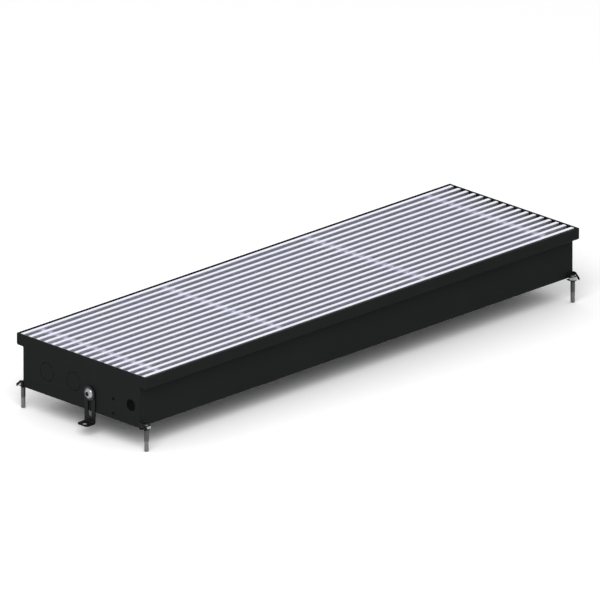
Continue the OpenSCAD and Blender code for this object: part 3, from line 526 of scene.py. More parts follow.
# The finishes of one tone. A tone is the name of a colour in its part's settings, a drift is another or a
# share of the tone, and a grain is the name of a length or millimetres, as the depth of its bump is.
FINISHES = {
    # Black powder coat with a fine peel, a little darker along its edges
    "casing_powder_coat": dict(
        part="casing", tone="coat", drift="coat_drift", edge="coat_edge", grain="peel", roughness=0.5,
        swing=0.1, depth=0.02, Specular_IOR_Level=0.03,
    ),
    # Smoother black coat of the lugs and the anchor brackets
    "bracket_dip_coat": dict(
        part="casing", tone="bracket_coat", drift="bracket_drift", edge="coat_edge", grain=0.35,
        roughness=0.38, swing=0.12, depth=0.008, Specular_IOR_Level=0.12,
    ),
    # Closed-cell foam with fine pores
    "strip_foam": dict(
        part="casing", tone="foam", drift=2, grain=0.5, roughness=0.92, swing=0.05, depth=0.15,
        grain_share=0.8, Specular_IOR_Level=0.2,
    ),
    # Clear anodised aluminium with fine lines drawn along the bars
    "bar_aluminium": dict(
        part="grille", tone="anodised", drift="anodised_drift", grain=(60, 0.25, 0.25), roughness=0.4,
        swing=0.08, depth=0.003, grain_share=0.6, Metallic=0.95,
    ),
    # Turned aluminium of the spacer sleeves
    "sleeve_aluminium": dict(
        part="grille", tone="sleeve", drift=0.85, grain=(3, 0.12, 3), roughness=0.4, swing=0.1,
        depth=0.004, grain_share=0.7, Metallic=1.0,
    ),
    # Bright drawn steel with lines along the rods, which lie across the grille
    "rod_steel": dict(
        part="grille", tone="rod", drift=0.8, grain=(0.2, 40, 0.2), roughness=0.34, swing=0.1,
        depth=0.003, grain_share=0.6, Metallic=1.0,
    ),
    # Grey phosphated steel of the studs
    "stud_steel": dict(
        part="levelling", tone="stud", drift=0.7, grain=0.4, roughness=0.45, swing=0.15, depth=0.006,
        Metallic=1.0,
    ),
    # Bright zinc plating with a faint cloudy bloom
    "zinc_plate": dict(
        part="levelling", tone="zinc", drift=0.82, grain=0.5, roughness=0.2, swing=0.1, depth=0.002,
        grain_share=0.2, Metallic=1.0,
    ),
    # Rolled aluminium sheet, with lines that run up the fin
    "fin_aluminium": dict(
        part="exchanger", tone="fin", drift=0.85, grain=(0.5, 0.5, 20), roughness=0.36, swing=0.12,
        depth=0.004, grain_share=0.5, Metallic=1.0,
    ),
    # Brazing metal, flowed and slightly rippled
    "braze_metal": dict(
        part="exchanger", tone="braze", drift="copper_tarnish", grain=0.8, roughness=0.38, swing=0.2,
        depth=0.04, Metallic=1.0,
    ),
    # Moulded black rubber
    "grommet_rubber": dict(
        part="exchanger", tone="rubber", drift=1.8, grain=0.6, roughness=0.62, swing=0.15, depth=0.02,
        Specular_IOR_Level=0.35,
    ),
    # Black oxide of the anchor washers
    "washer_oxide": dict(
        part="exchanger", tone="rubber", drift=1.6, grain=0.3, roughness=0.5, swing=0.15, depth=0.006,
        Specular_IOR_Level=0.4,
    ),
    # Warm satin nickel over forged brass
    "nickel_plate": dict(
        part="valves", tone="nickel", drift=0.86, grain=0.7, roughness=0.3, swing=0.1, depth=0.012,
        Metallic=1.0,
    ),
    # Turned brass, a little dulled
    "turned_brass": dict(
        part="valves", tone="brass", drift=0.75, grain=(3, 3, 0.1), roughness=0.3, swing=0.12, depth=0.004,
        Metallic=1.0,
    ),
    # Moulded plastic of the two caps, with a fine spark-eroded texture
    "hand_cap_plastic": dict(
        part="valves", tone="hand_cap", drift=1.06, grain=0.35, roughness=0.44, swing=0.08, depth=0.012,
    ),
    "shield_cap_plastic": dict(
        part="valves", tone="shield_cap", drift=1.06, grain=0.35, roughness=0.44, swing=0.08, depth=0.012,
    ),
}


@cache
def finish(name):
    """The material of a finish in the table."""
    return grained(name.replace("_", " ").capitalize(), **FINISHES[name])


# How rough the painted shade down in the socket of a bolt is
SOCKET_ROUGHNESS = 0.7
# How much rougher stained copper is
STAIN_ROUGHNESS = 0.18


@cache
def bolt_plate():
    """Zinc plating of the anchor bolts, with painted shade down in the socket."""
    s = settings("levelling")
    material, tree, sockets = new_material("Bolt plate", {})
    values = {
        "Tone": opaque(s.zinc), "Drift Tone": opaque(drift_tone(s, s.zinc, 0.7)),
        "Grain Scale": grain_scale(s, 0.5), "Roughness": 0.2, "Swing": 0.1, "Grain Share": 0.2,
    }
    surface = place_group(tree, fine_surface(), values)
    mouth = size_of("anchor_bolts").x / 2 - s.socket_mouth
    inputs = {"Axis": middle("anchor_bolts"), "Reach": s.socket_reach, "Mouth": mouth}
    mask = place_group(tree, painted_socket_shade_mask(), inputs)["Mask"]
    # Painted shade: the socket turns dark, dull and not metal, to stand for the shade down in its hollow
    base = mix_colours(tree, mask, surface["Color"], opaque(s.socket))
    rough = spread(tree, mask, 0.0, 1.0, surface["Roughness"], SOCKET_ROUGHNESS)
    feed(tree, sockets, Base_Color=base, Metallic=maths(tree, "SUBTRACT", 1.0, mask), Roughness=rough)
    add_bump(tree, sockets, surface["Height"], 0.002 * MM)
    return material


@cache
def copper():
    """Bare copper with soft stains, darker towards the brazed bend."""
    s = settings("exchanger")
    material, tree, sockets = new_material("Copper", {"Metallic": 1.0})
    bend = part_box("return_bend")[0].x
    values = {
        "Tone": opaque(s.copper), "Stain": opaque(s.copper_tarnish),
        "Heat Start": bend - s.heat_length, "Heat End": bend,
    }
    stained = place_group(tree, tarnish(), values)
    values = {"Roughness": 0.32, "Swing": 0.12, "Grain Scale": grain_scale(s, (30, 0.25, 0.25))}
    drawn = place_group(tree, fine_surface(), values)
    rough = maths(tree, "ADD", drawn["Roughness"], maths(tree, "MULTIPLY", stained["Mask"], STAIN_ROUGHNESS))
    feed(tree, sockets, Base_Color=stained["Color"], Roughness=rough)
    add_bump(tree, sockets, drawn["Height"], 0.003 * MM)
    return material


@cache
def galvanised_sheet():
    """Hot-dip galvanised sheet with its crystals showing."""
    s = settings("exchanger")
    material, tree, sockets = new_material("Galvanised sheet", {"Metallic": 1.0})
    values = {"Tone": opaque(s.galvanised), "Crystal Size": 9 * MM, "Contrast": 0.3, "Roughness": 0.34}
    crystals = place_group(tree, spangle(), values)
    feed(tree, sockets, Base_Color=crystals["Color"], Roughness=crystals["Roughness"])
    add_bump(tree, sockets, crystals["Height"], 0.01 * MM)
    return material


def wear(node, material):
    """Gives a carried-over node its finish."""
    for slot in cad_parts[node].material_slots:
        slot.material = material


def linked(name, data):
    """Makes an object from its data and puts it in the scene."""
    obj = bpy.data.objects.new(name, data)
    bpy.context.scene.collection.objects.link(obj)
    return obj


def from_bmesh(name, bm):
    """Makes an object from a finished bmesh."""
    mesh = bpy.data.meshes.new(name)
    bm.to_mesh(mesh)
    bm.free()
    return linked(name, mesh)


def settled(obj):
    """Turns an object and its modifiers into one plain mesh."""
    depsgraph = bpy.context.evaluated_depsgraph_get()
    mesh = bpy.data.meshes.new_from_object(obj.evaluated_get(depsgraph), depsgraph=depsgraph)
    obj.modifiers.clear()
    obj.data = mesh
    mesh.name = obj.name
    return obj


def new_piece(name, bm):
    """Makes a smooth object from a finished bmesh, with its faces turned outwards."""
    bmesh.ops.recalc_face_normals(bm, faces=bm.faces)
    return smoothed(from_bmesh(name, bm))


def grown(name, tree, values, base=None):
    """Runs a Geometry Nodes tree on a new object and keeps what it makes as a plain, smooth mesh."""
    obj = linked(name, base or bpy.data.meshes.new(name))
    modifier = obj.modifiers.new(name, "NODES")
    modifier.node_group = tree
    for item in tree.interface.items_tree:
        if item.in_out == "INPUT" and item.name in values:
            modifier[item.identifier] = values[item.name]
    return smoothed(settled(obj))


def smoothed(obj):
    """Shades a piece smooth, with flat faces kept flat and sharp edges kept sharp."""
    obj.data.shade_smooth()
    obj.data.set_sharp_from_angle(angle=SHARP_ANGLE)
    modifier = obj.modifiers.new("Even normals", "WEIGHTED_NORMAL")
    modifier.keep_sharp = True
    return settled(obj)


def dressed(obj, body, slot, material, *nodes):
    """Gives a piece its finish and its body, and hides the nodes that it stands for."""
    obj.data.materials.clear()
    obj.data.materials.append(material)
    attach(obj, body)
    if nodes:
        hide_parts(*nodes)


def eased_piece(name, node, ease, body, slot, material):
    """Dresses a node in a copy of its shape with the loose triangles joined and the sharp edges rounded."""
    bm = bmesh.new()
    bm.from_mesh(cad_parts[node].data)
    bmesh.ops.remove_doubles(bm, verts=bm.verts, dist=WELD)
    bmesh.ops.dissolve_limit(bm, angle_limit=FLAT_ANGLE, verts=bm.verts, edges=bm.edges)
    obj = from_bmesh(name, bm)
    bevel = obj.modifiers.new("Eased edges", "BEVEL")
    bevel.width = ease
    bevel.segments = 2
    bevel.limit_method = "ANGLE"
    bevel.angle_limit = SHARP_ANGLE
    bevel.use_clamp_overlap = True
    bevel.miter_outer = "MITER_ARC"
    dressed(smoothed(settled(obj)), body, slot, material, node)


def skin(bm, rings, closed=False):
    """Joins neighbouring rings of points with faces; a ring of one point closes to a tip."""
    rows = [[bm.verts.new(point) for point in points] for points in rings]
    pairs = list(zip(rows, rows[1:]))
    if closed:
        pairs.append((rows[-1], rows[0]))
    for low, high in pairs:
        for k in range(max(len(low), len(high))):
            here = [low[k % len(low)], low[(k + 1) % len(low)]]
            there = [high[(k + 1) % len(high)], high[k % len(high)]]
            bm.faces.new(dict.fromkeys(here + there))


def ring(place, radius, height, segments=ROUND):
    """Points of one circle about the local Z axis; a radius of none is a single point."""
    if radius == 0:
        return [place @ Vector((0, 0, height))]
    turns = [TURN * k / segments for k in range(segments)]
    return [place @ Vector((radius * math.cos(turn), radius * math.sin(turn), height)) for turn in turns]


def turned(bm, place, profile, segments=ROUND):
    """Turns an outline of (radius, height) points; one that starts on the axis is a solid piece."""
    rings = [ring(place, radius, height, segments) for radius, height in profile]
    skin(bm, rings, closed=profile[0][0] != 0)


def hex_radius(flats, turn):
    """Distance from the middle of a hexagon to its outline, with a flat facing a turn of none."""
    sixth = TURN / 6
    return flats / 2 / math.cos((turn + sixth / 2) % sixth - sixth / 2)


def hex_nut(bm, place, flats, height, bore, mouth, face_share):
    """A hexagon nut about the local Z axis with its corners turned off at both faces."""
    face = flats / 2 * face_share
    around = 3 * SMALL_ROUND

    def hexagon(side):
        points = []
        for turn in (TURN * k / around for k in range(around)):
            reach = hex_radius(flats, turn)
            level = side * (height / 2 - (reach - face) * NUT_SLOPE)
            points.append(place @ Vector((reach * math.cos(turn), reach * math.sin(turn), level)))
        return points

    def circle(radius, level):
        return ring(place, radius, level, around)

    half = height / 2
    rings = [
        circle(bore, mouth - half), circle(bore + mouth, -half), circle(face, -half), hexagon(-1),
        hexagon(1), circle(face, half), circle(bore + mouth, half), circle(bore, half - mouth),
    ]
    skin(bm, rings, closed=True)


def along(axis, centre):
    """The place of a piece whose own Z axis lies along a world axis, through a centre."""
    turns = {"x": Matrix.Rotation(QUARTER, 4, "Y"), "y": Matrix.Rotation(-QUARTER, 4, "X"), "z": Matrix()}
    return Matrix.Translation(centre) @ turns[axis]


def middle(node):
    """The middle of a node's box."""
    low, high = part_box(node)
    return (low + high) / 2


def size_of(node):
    """The size of a node's box."""
    low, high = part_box(node)
    return high - low


def bar_name(k):
    """Name of a grille bar, counted from 1."""
    return f"grille_bar_{k:02d}"


def bar_section(s):
    """The outline of one bar as a closed loop of edges, drawn flat with its top upwards."""
    size = size_of(bar_name(1))
    points = [(s.foot_width / 2, 0), (size.y / 2, s.foot_height), (size.y / 2, size.z)]
    points += [(-x, z) for x, z in reversed(points)]
    mesh = bpy.data.meshes.new("bar_section")
    edges = [(k, (k + 1) % len(points)) for k in range(len(points))]
    mesh.from_pydata([(x, z, 0) for x, z in points], edges, [])
    return mesh


def numbers(*labels):
    """Sockets for plain numbers."""
    return {label: ("Float", 1.0) for label in labels}


def in_row(tree, number, start, step):
    """Points in a row."""
    return first(tree, "GeometryNodeMeshLine", {"Count": number, "Start Location": start, "Offset": step})


def copies(tree, points, piece):
    """Puts a copy of a piece on every point."""
    return first(tree, "GeometryNodeInstanceOnPoints", {"Points": points, "Instance": piece})


def together(tree, *parts):
    """Joins pieces of geometry."""
    joined = add(tree, "GeometryNodeJoinGeometry")
    for part in parts:
        tree.links.new(part, joined.inputs[0])
    return joined.outputs[0]


def moved(tree, piece, shift=(0, 0, 0), rotation=(0, 0, 0)):
    """Turns a piece and shifts it."""
    inputs = {"Geometry": piece, "Translation": shift, "Rotation": rotation}
    return first(tree, "GeometryNodeTransform", inputs)


def bored(tree, body, points, radius, rotation):
    """Bores a round hole through a body at every point."""
    size = {"Vertices": SMALL_ROUND, "Radius": radius, "Depth": DRILL_LENGTH}
    drill = moved(tree, first(tree, "GeometryNodeMeshCylinder", size), rotation=rotation)
    drills = first(tree, "GeometryNodeRealizeInstances", {0: copies(tree, points, drill)})
    inputs = {0: body, 1: drills}
    return first(tree, "GeometryNodeMeshBoolean", inputs, operation="DIFFERENCE", solver="EXACT")


def filleted(tree, outline, radius, steps):
    """Rounds the corners of an outline."""
    inputs = {"Curve": outline, "Radius": radius, "Count": steps}
    return first(tree, "GeometryNodeFilletCurve", inputs, mode="POLY")


def wall_section(tree, thickness, height):
    """The cut wall of a round piece."""
    size = {"Width": thickness, "Height": height}
    return first(tree, "GeometryNodeCurvePrimitiveQuadrilateral", size)


def swept_round(tree, section, radius):
    """Sweeps a section round a circle."""
    path = first(tree, "GeometryNodeCurvePrimitiveCircle", {"Resolution": SMALL_ROUND, "Radius": radius})
    return first(tree, "GeometryNodeCurveToMesh", {"Curve": path, "Profile Curve": section})


def rod_points(tree, given):
    """Points of the four cross rods: an outer and an inner pair."""
    pairs = []
    for label in ("Outer", "Inner"):
        start = vector(tree, x=given[label + " Rod"], z=given["Rod Height"])
        pairs.append(in_row(tree, 2, start, vector(tree, x=given[label + " Span"])))
    return together(tree, *pairs)


ROD_INPUTS = numbers("Outer Rod", "Outer Span", "Inner Rod", "Inner Span", "Rod Height")


def rod_values():
    """Places of the cross rods, read from the frame."""
    x = [middle(f"cross_rod_{k + 1}").x for k in range(ROD_COUNT)]
    return {
        "Outer Rod": x[0], "Outer Span": x[3] - x[0], "Inner Rod": x[1], "Inner Span": x[2] - x[1],
        "Rod Height": middle("cross_rod_1").z,
    }


def rod_bore(s):
    """Radius of the bores that the cross rods pass through."""
    low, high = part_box("cross_rod_1")
    return (high.z - low.z) / 2 + s.bore_gap


def start_tree(name, inputs):
    """Starts a tree of Geometry Nodes and returns it with its two ends."""
    return new_group(name, "GeometryNodeTree", inputs, {"Geometry": "Geometry"})


def end_tree(tree, geometry, material, result):
    """Ends a tree in real geometry with its material."""
    real = first(tree, "GeometryNodeRealizeInstances", {0: geometry})
    painted = first(tree, "GeometryNodeSetMaterial", {"Geometry": real, "Material": material})
    tree.links.new(painted, result[0])


def bars_tree(material):
    """Sweeps the section into a bar, bores it for the rods and repeats it across the grille."""
    inputs = {
        "Section": ("Geometry", None), "Bar Count": ("Int", 1), **ROD_INPUTS,
        **numbers("Bar Length", "Near End", "Under Side", "First Bar", "Bar Pitch", "Arris", "Bore"),
    }
    tree, given, result = start_tree("Grille bars", inputs)
    outline = first(tree, "GeometryNodeMeshToCurve", {0: given["Section"]})
    section = filleted(tree, outline, given["Arris"], steps=4)
    spine = first(tree, "GeometryNodeCurvePrimitiveLine", {"End": vector(tree, z=given["Bar Length"])})
    inputs = {"Curve": spine, "Profile Curve": section, "Fill Caps": True}
    swept = first(tree, "GeometryNodeCurveToMesh", inputs)
    laid = moved(tree, swept, vector(tree, x=given["Near End"], z=given["Under Side"]), UPRIGHT)
    bar = bored(tree, laid, rod_points(tree, given), given["Bore"], (QUARTER, 0, 0))
    start, step = vector(tree, y=given["First Bar"]), vector(tree, y=given["Bar Pitch"])
    end_tree(tree, copies(tree, in_row(tree, given["Bar Count"], start, step), bar), material, result)
    return tree


class HEATER_OT_grille_bars(bpy.types.Operator):
    """Make the long grille bars, with eased arrises and bores for the cross rods"""

    bl_idname = "heater.grille_bars"
    bl_label = "Grille Bars"
    bl_options = {"REGISTER", "UNDO"}

    def execute(self, context):
        s = context.scene.heater_grille
        low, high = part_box(bar_name(1))
        start, following = (middle(bar_name(k)).y for k in (1, 2))
        values = {
            "Bar Count": BAR_COUNT, "Bar Length": high.x - low.x, "Near End": low.x, "Under Side": low.z,
            "First Bar": start, "Bar Pitch": following - start, "Arris": s.arris,
            "Bore": rod_bore(s), **rod_values(),
        }
        bars = grown("grille_bars", bars_tree(finish("bar_aluminium")), values, bar_section(s))
        nodes = [bar_name(k + 1) for k in range(BAR_COUNT)]
        dressed(bars, "grille", "grille_aluminium", finish("bar_aluminium"), *nodes)
        return {"FINISHED"}


class HEATER_OT_cross_rods(bpy.types.Operator):
    """Make the four cross rods, with chamfered and centre-drilled ends"""

    bl_idname = "heater.cross_rods"
    bl_label = "Cross Rods"
    bl_options = {"REGISTER", "UNDO"}

    def execute(self, context):
        chamfer = context.scene.heater_grille.rod_chamfer
        bm = bmesh.new()
        nodes = [f"cross_rod_{k + 1}" for k in range(ROD_COUNT)]
        for node in nodes:
            radius, half = size_of(node).z / 2, size_of(node).y / 2
            centre_drill = [(0, 2 * chamfer), (chamfer, chamfer), (2 * chamfer, 0)]
            end = [*centre_drill, (radius - chamfer, 0), (radius, chamfer)]
            near = [(r, -half + h) for r, h in end]
            profile = near + [(r, -h) for r, h in reversed(near)]
            turned(bm, along("y", middle(node)), profile, 2 * SMALL_ROUND)
        rods = new_piece("cross_rods", bm)
        dressed(rods, "grille", "rod_steel", finish("rod_steel"), *nodes)
        return {"FINISHED"}


def sleeves_tree(material):
    """Makes one eased sleeve and repeats it along every rod, between the bars."""
    inputs = {
        "Sleeve Count": ("Int", 1), **ROD_INPUTS,
        **numbers("Radius", "Wall", "Length", "Ease", "First Sleeve", "Sleeve Pitch"),
    }
    tree, given, result = start_tree("Spacer sleeves", inputs)
    wall = wall_section(tree, given["Wall"], given["Length"])
    wall = filleted(tree, wall, given["Ease"], steps=2)
    half_wall = maths(tree, "MULTIPLY", given["Wall"], 0.5)
    sleeve = swept_round(tree, wall, maths(tree, "SUBTRACT", given["Radius"], half_wall))
    sleeve = moved(tree, sleeve, rotation=(QUARTER, 0, 0))
    start, step = vector(tree, y=given["First Sleeve"]), vector(tree, y=given["Sleeve Pitch"])
    one_rod = copies(tree, in_row(tree, given["Sleeve Count"], start, step), sleeve)
    end_tree(tree, copies(tree, rod_points(tree, given), one_rod), material, result)
    return tree


class HEATER_OT_spacer_sleeves(bpy.types.Operator):
    """Make the spacer sleeves that keep the bars apart on the rods"""

    bl_idname = "heater.spacer_sleeves"
    bl_label = "Spacer Sleeves"
    bl_options = {"REGISTER", "UNDO"}

    def execute(self, context):
        s = context.scene.heater_grille
        start, following = (middle(bar_name(k)).y for k in (1, 2))
        radius, gap = s.sleeve_diameter / 2, start - following - size_of(bar_name(1)).y
        values = {
            "Radius": radius, "Wall": radius - rod_bore(s), "Length": gap, "Ease": s.sleeve_ease,
            "Sleeve Count": BAR_COUNT - 1, "First Sleeve": (start + following) / 2,
            "Sleeve Pitch": following - start, **rod_values(),
        }
        sleeves = grown("spacer_sleeve_set", sleeves_tree(finish("sleeve_aluminium")), values)
        dressed(sleeves, "grille", "sleeve_aluminium", finish("sleeve_aluminium"), "spacer_sleeves")
        return {"FINISHED"}


class HEATER_OT_casing(bpy.types.Operator):
    """Coat the folded channel, its braces and its damping strips"""

    bl_idname = "heater.casing"
    bl_label = "Casing"
    bl_options = {"REGISTER", "UNDO"}

    def execute(self, context):
        coat = finish("casing_powder_coat")
        wear("trench_channel", coat)
        for side in ("room", "window"):
            wear(f"damping_strip_{side}", finish("strip_foam"))
        ease = context.scene.heater_casing.lug_ease
        for end in ENDS:
            eased_piece(f"brace_{end}", f"cross_brace_{end}", ease, "trench", "casing_black", coat)
        return {"FINISHED"}


class HEATER_OT_end_plates(bpy.types.Operator):
    """Make the end plates with eased edges, knock-outs and holes"""

    bl_idname = "heater.end_plates"
    bl_label = "End Plates"
    bl_options = {"REGISTER", "UNDO"}

    def execute(self, context):
        coat, ease = finish("casing_powder_coat"), context.scene.heater_casing.plate_ease
        for end in ENDS:
            eased_piece(f"plate_{end}", f"end_plate_{end}", ease, "trench", "casing_black", coat)
        return {"FINISHED"}


class HEATER_OT_levelling_lugs(bpy.types.Operator):
    """Make the folded lugs that carry the levelling studs"""

    bl_idname = "heater.levelling_lugs"
    bl_label = "Levelling Lugs"
    bl_options = {"REGISTER", "UNDO"}

    def execute(self, context):
        coat, ease = finish("bracket_dip_coat"), context.scene.heater_casing.lug_ease
        eased_piece("lug_set", "levelling_lugs", ease, "trench", "bracket_black", coat)
        return {"FINISHED"}


# Where the crest ends, the root starts and the root ends, as shares of one turn's rise
THREAD_SHARES = (0.0, 0.125, 0.4375, 0.6875)


def thread(bm, place, crest, root, pitch, low, high, segments=ROUND // 2):
    """The skin of a right-hand thread that fades out over its first and last turn."""
    radii = (crest, crest, root, root)
    rows = len(THREAD_SHARES)
    turns = math.ceil((high - low) / pitch)
    grid = {}
    for k in range(segments):
        turn = TURN * k / segments
        for row in range(-rows, (turns + 1) * rows):
            rise = row // rows + THREAD_SHARES[row % rows] + k / segments
            level = min(max(low + pitch * rise, low), high)
            fade = min((level - low) / pitch, (high - level) / pitch, 1)
            radius = root + (radii[row % rows] - root) * fade
            point = Vector((radius * math.cos(turn), radius * math.sin(turn), level))
            grid[k, row] = bm.verts.new(place @ point)
    for k in range(segments):
        for row in range(-rows, (turns + 1) * rows - 1):
            beside, lift = (k + 1) % segments, rows if k + 1 == segments else 0
            corners = [(k, row), (beside, row + lift), (beside, row + lift + 1), (k, row + 1)]
            if all(corner in grid for corner in corners):
                bm.faces.new([grid[corner] for corner in corners])


class HEATER_OT_levelling_studs(bpy.types.Operator):
    """Make the threaded studs with their plain feet"""

    bl_idname = "heater.levelling_studs"
    bl_label = "Levelling Studs"
    bl_options = {"REGISTER", "UNDO"}

    def execute(self, context):
        s = context.scene.heater_levelling
        for corner in CORNERS:
            node = f"levelling_stud_{corner}"
            centre, size = middle(node), size_of(node)
            place = Matrix.Translation((centre.x, centre.y, centre.z - size.z / 2))
            crest, top = size.x / 2, size.z
            root, foot = crest - s.thread_depth, crest - s.foot_inset
            tip = s.tip_chamfer
            start, stop = s.foot_height + s.foot_inset, top - tip
            bm = bmesh.new()
            around = ROUND // 2
            below = [(0, 0), (foot - tip, 0), (foot, tip), (foot, s.foot_height), (root, start)]
            above = [(root, stop), (root - tip / 2, top), (0, top)]
            for profile in (below, above):
                skin(bm, [ring(place, radius, height, around) for radius, height in profile])
            thread(bm, place, crest, root, s.pitch, start, stop)
            bmesh.ops.remove_doubles(bm, verts=bm.verts, dist=WELD)
            stud = new_piece(f"stud_{corner}", bm)
            dressed(stud, f"stud_{corner}", "stud_steel", finish("stud_steel"), node)
        return {"FINISHED"}


class HEATER_OT_levelling_nuts(bpy.types.Operator):
    """Make the hexagon nuts that turn on the studs"""

    bl_idname = "heater.levelling_nuts"
    bl_label = "Levelling Nuts"
    bl_options = {"REGISTER", "UNDO"}

    def execute(self, context):
        s = context.scene.heater_levelling
        for corner in CORNERS:
            node = f"levelling_nut_{corner}"
            size = size_of(node)
            turn = 0 if size.x < size.y else QUARTER
            place = along("z", middle(node)) @ Matrix.Rotation(turn, 4, "Z")
            bore = size_of(f"levelling_stud_{corner}").x / 2 + s.bore_gap
            bm = bmesh.new()
            hex_nut(bm, place, min(size.x, size.y), size.z, bore, s.mouth_chamfer, s.face_share)
            nut = new_piece(f"nut_{corner}", bm)
            dressed(nut, f"nut_{corner}", "zinc_steel", finish("zinc_plate"), node)
        return {"FINISHED"}


class HEATER_OT_anchors(bpy.types.Operator):
    """Make the slotted anchor brackets and finish their bolts, washers and nuts"""

    bl_idname = "heater.anchors"
    bl_label = "Anchors"
    bl_options = {"REGISTER", "UNDO"}

    def execute(self, context):
        coat, ease = finish("bracket_dip_coat"), context.scene.heater_casing.lug_ease
        for end in ENDS:
            node = f"anchor_bracket_{end}"
            eased_piece(f"bracket_{end}", node, ease, f"anchor_{end}", "bracket_black", coat)
        wear("anchor_washers", finish("washer_oxide"))
        eased_piece("anchoring_bolts", "anchor_bolts", ease, "trench", "zinc_steel", bolt_plate())
        eased_piece("anchoring_nuts", "anchor_nuts", ease, "trench", "zinc_steel", finish("zinc_plate"))
        return {"FINISHED"}


# Points to one ripple of a fin
RIPPLE_POINTS = 4.0


def rippled_sheet(tree, given):
    """A thin sheet, bent into even ripples across its width."""
    columns = maths(tree, "MULTIPLY_ADD", given["Ripples"], RIPPLE_POINTS, 1.0)
    size = {"Size X": given["Width"], "Size Y": given["Height"], "Vertices X": columns, "Vertices Y": 2}
    sheet = first(tree, "GeometryNodeMeshGrid", size)
    across = first(tree, "ShaderNodeSeparateXYZ", {0: first(tree, "GeometryNodeInputPosition")})
    phase = maths(tree, "MULTIPLY", maths(tree, "DIVIDE", across, given["Width"]), given["Ripples"])
    wave = maths(tree, "COSINE", maths(tree, "MULTIPLY", phase, TURN))
    lift = vector(tree, z=maths(tree, "MULTIPLY", wave, given["Ripple"]))
    sheet = first(tree, "GeometryNodeSetPosition", {"Geometry": sheet, "Offset": lift})
    up = vector(tree, z=given["Thickness"])
    inputs = {"Mesh": sheet, "Offset": up, "Offset Scale": 1.0, "Individual": False}
    raised = first(tree, "GeometryNodeExtrudeMesh", inputs, mode="FACES")
    slab = together(tree, raised, first(tree, "GeometryNodeFlipFaces", {0: sheet}))
    return first(tree, "GeometryNodeMergeByDistance", {"Geometry": slab, "Distance": WELD})


def fins_tree(material):
    """Bores one rippled fin for the tubes, adds its collars and repeats it."""
    inputs = {
        "Ripples": ("Int", 1), "Fin Count": ("Int", 1), "Centre": ("Vector", (0, 0, 0)),
        **numbers("Width", "Height", "Thickness", "Ripple", "Tube Spread", "Bore"),
        **numbers("Collar Wall", "Collar Length", "Fin Pitch"),
    }
    tree, given, result = start_tree("Fin pack", inputs)
    start = vector(tree, x=maths(tree, "MULTIPLY", given["Tube Spread"], -0.5))
    tubes = in_row(tree, 2, start, vector(tree, x=given["Tube Spread"]))
    plate = bored(tree, rippled_sheet(tree, given), tubes, given["Bore"], (0, 0, 0))
    wall = wall_section(tree, given["Collar Wall"], given["Collar Length"])
    half_wall = maths(tree, "MULTIPLY", given["Collar Wall"], 0.5)
    collar = swept_round(tree, wall, maths(tree, "ADD", given["Bore"], half_wall))
    lift = maths(tree, "MULTIPLY_ADD", given["Collar Length"], 0.5, given["Thickness"])
    collar = moved(tree, collar, vector(tree, z=lift))
    fin = moved(tree, together(tree, plate, copies(tree, tubes, collar)), rotation=UPRIGHT)
    row = in_row(tree, given["Fin Count"], given["Centre"], vector(tree, x=given["Fin Pitch"]))
    end_tree(tree, copies(tree, row, fin), material, result)
    return tree


class HEATER_OT_fins(bpy.types.Operator):
    """Make the pack of rippled fins with the collars that space them"""

    bl_idname = "heater.fins"
    bl_label = "Fins"
    bl_options = {"REGISTER", "UNDO"}

    def execute(self, context):
        s = context.scene.heater_exchanger
        size, centre = size_of("fin_pack"), middle("fin_pack")
        gaps = s.fins - 1
        run = size.x - s.fin_thickness
        spread_y = middle("supply_tube").y - middle("return_tube").y
        centre.x += s.ripple - size.x / 2
        values = {
            "Width": size.y, "Height": size.z, "Thickness": s.fin_thickness,
            "Ripple": s.ripple, "Ripples": s.ripples, "Centre": centre, "Tube Spread": spread_y,
            "Bore": size_of("supply_tube").z / 2 + s.tube_gap, "Collar Wall": s.collar_wall,
            "Collar Length": run / gaps - s.fin_thickness - s.collar_gap,
            "Fin Count": s.fins, "Fin Pitch": (run - 2 * s.ripple) / gaps,
        }
        fins = grown("fins", fins_tree(finish("fin_aluminium")), values)
        dressed(fins, "trench", "fin_aluminium", finish("fin_aluminium"), "fin_pack")
        return {"FINISHED"}


# Places on the brazed fillets, outwards from the tube and along it, as shares of the fillet's size
BRAZE_SHARES = ((0, 0), (0, -1.6), (0.25, -0.7), (0.6, -0.25), (0.95, 0))


class HEATER_OT_tubes(bpy.types.Operator):
    """Finish the copper tubes and braze the return bend"""

    bl_idname = "heater.tubes"
    bl_label = "Tubes"
    bl_options = {"REGISTER", "UNDO"}

    def execute(self, context):
        for node in ("supply_tube", "return_tube", "return_bend"):
            wear(node, copper())
        size = context.scene.heater_exchanger.braze_size
        bm = bmesh.new()
        for flow in FLOWS:
            low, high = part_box(f"{flow}_tube")
            radius, centre = (high.z - low.z) / 2, (low + high) / 2
            centre.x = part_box("return_bend")[0].x
            turned(bm, along("x", centre), [(radius + out * size, far * size) for out, far in BRAZE_SHARES])
        dressed(new_piece("brazed_joints", bm), "trench", "brass", finish("braze_metal"))
        return {"FINISHED"}


class HEATER_OT_exchanger_fittings(bpy.types.Operator):
    """Make the exchanger brackets and the baffle, and finish the grommets and rivets"""

    bl_idname = "heater.exchanger_fittings"
    bl_label = "Exchanger Fittings"
    bl_options = {"REGISTER", "UNDO"}

    def execute(self, context):
        sheets = {f"fin_bracket_{end}": f"exchanger_bracket_{end}" for end in ENDS}
        sheets["baffle_sheet"] = "air_baffle"
        ease = context.scene.heater_casing.lug_ease
        for name, node in sheets.items():
            eased_piece(name, node, ease, "trench", "galvanised", galvanised_sheet())
        wear("tube_grommets", finish("grommet_rubber"))
        wear("bracket_rivets", finish("zinc_plate"))
        return {"FINISHED"}


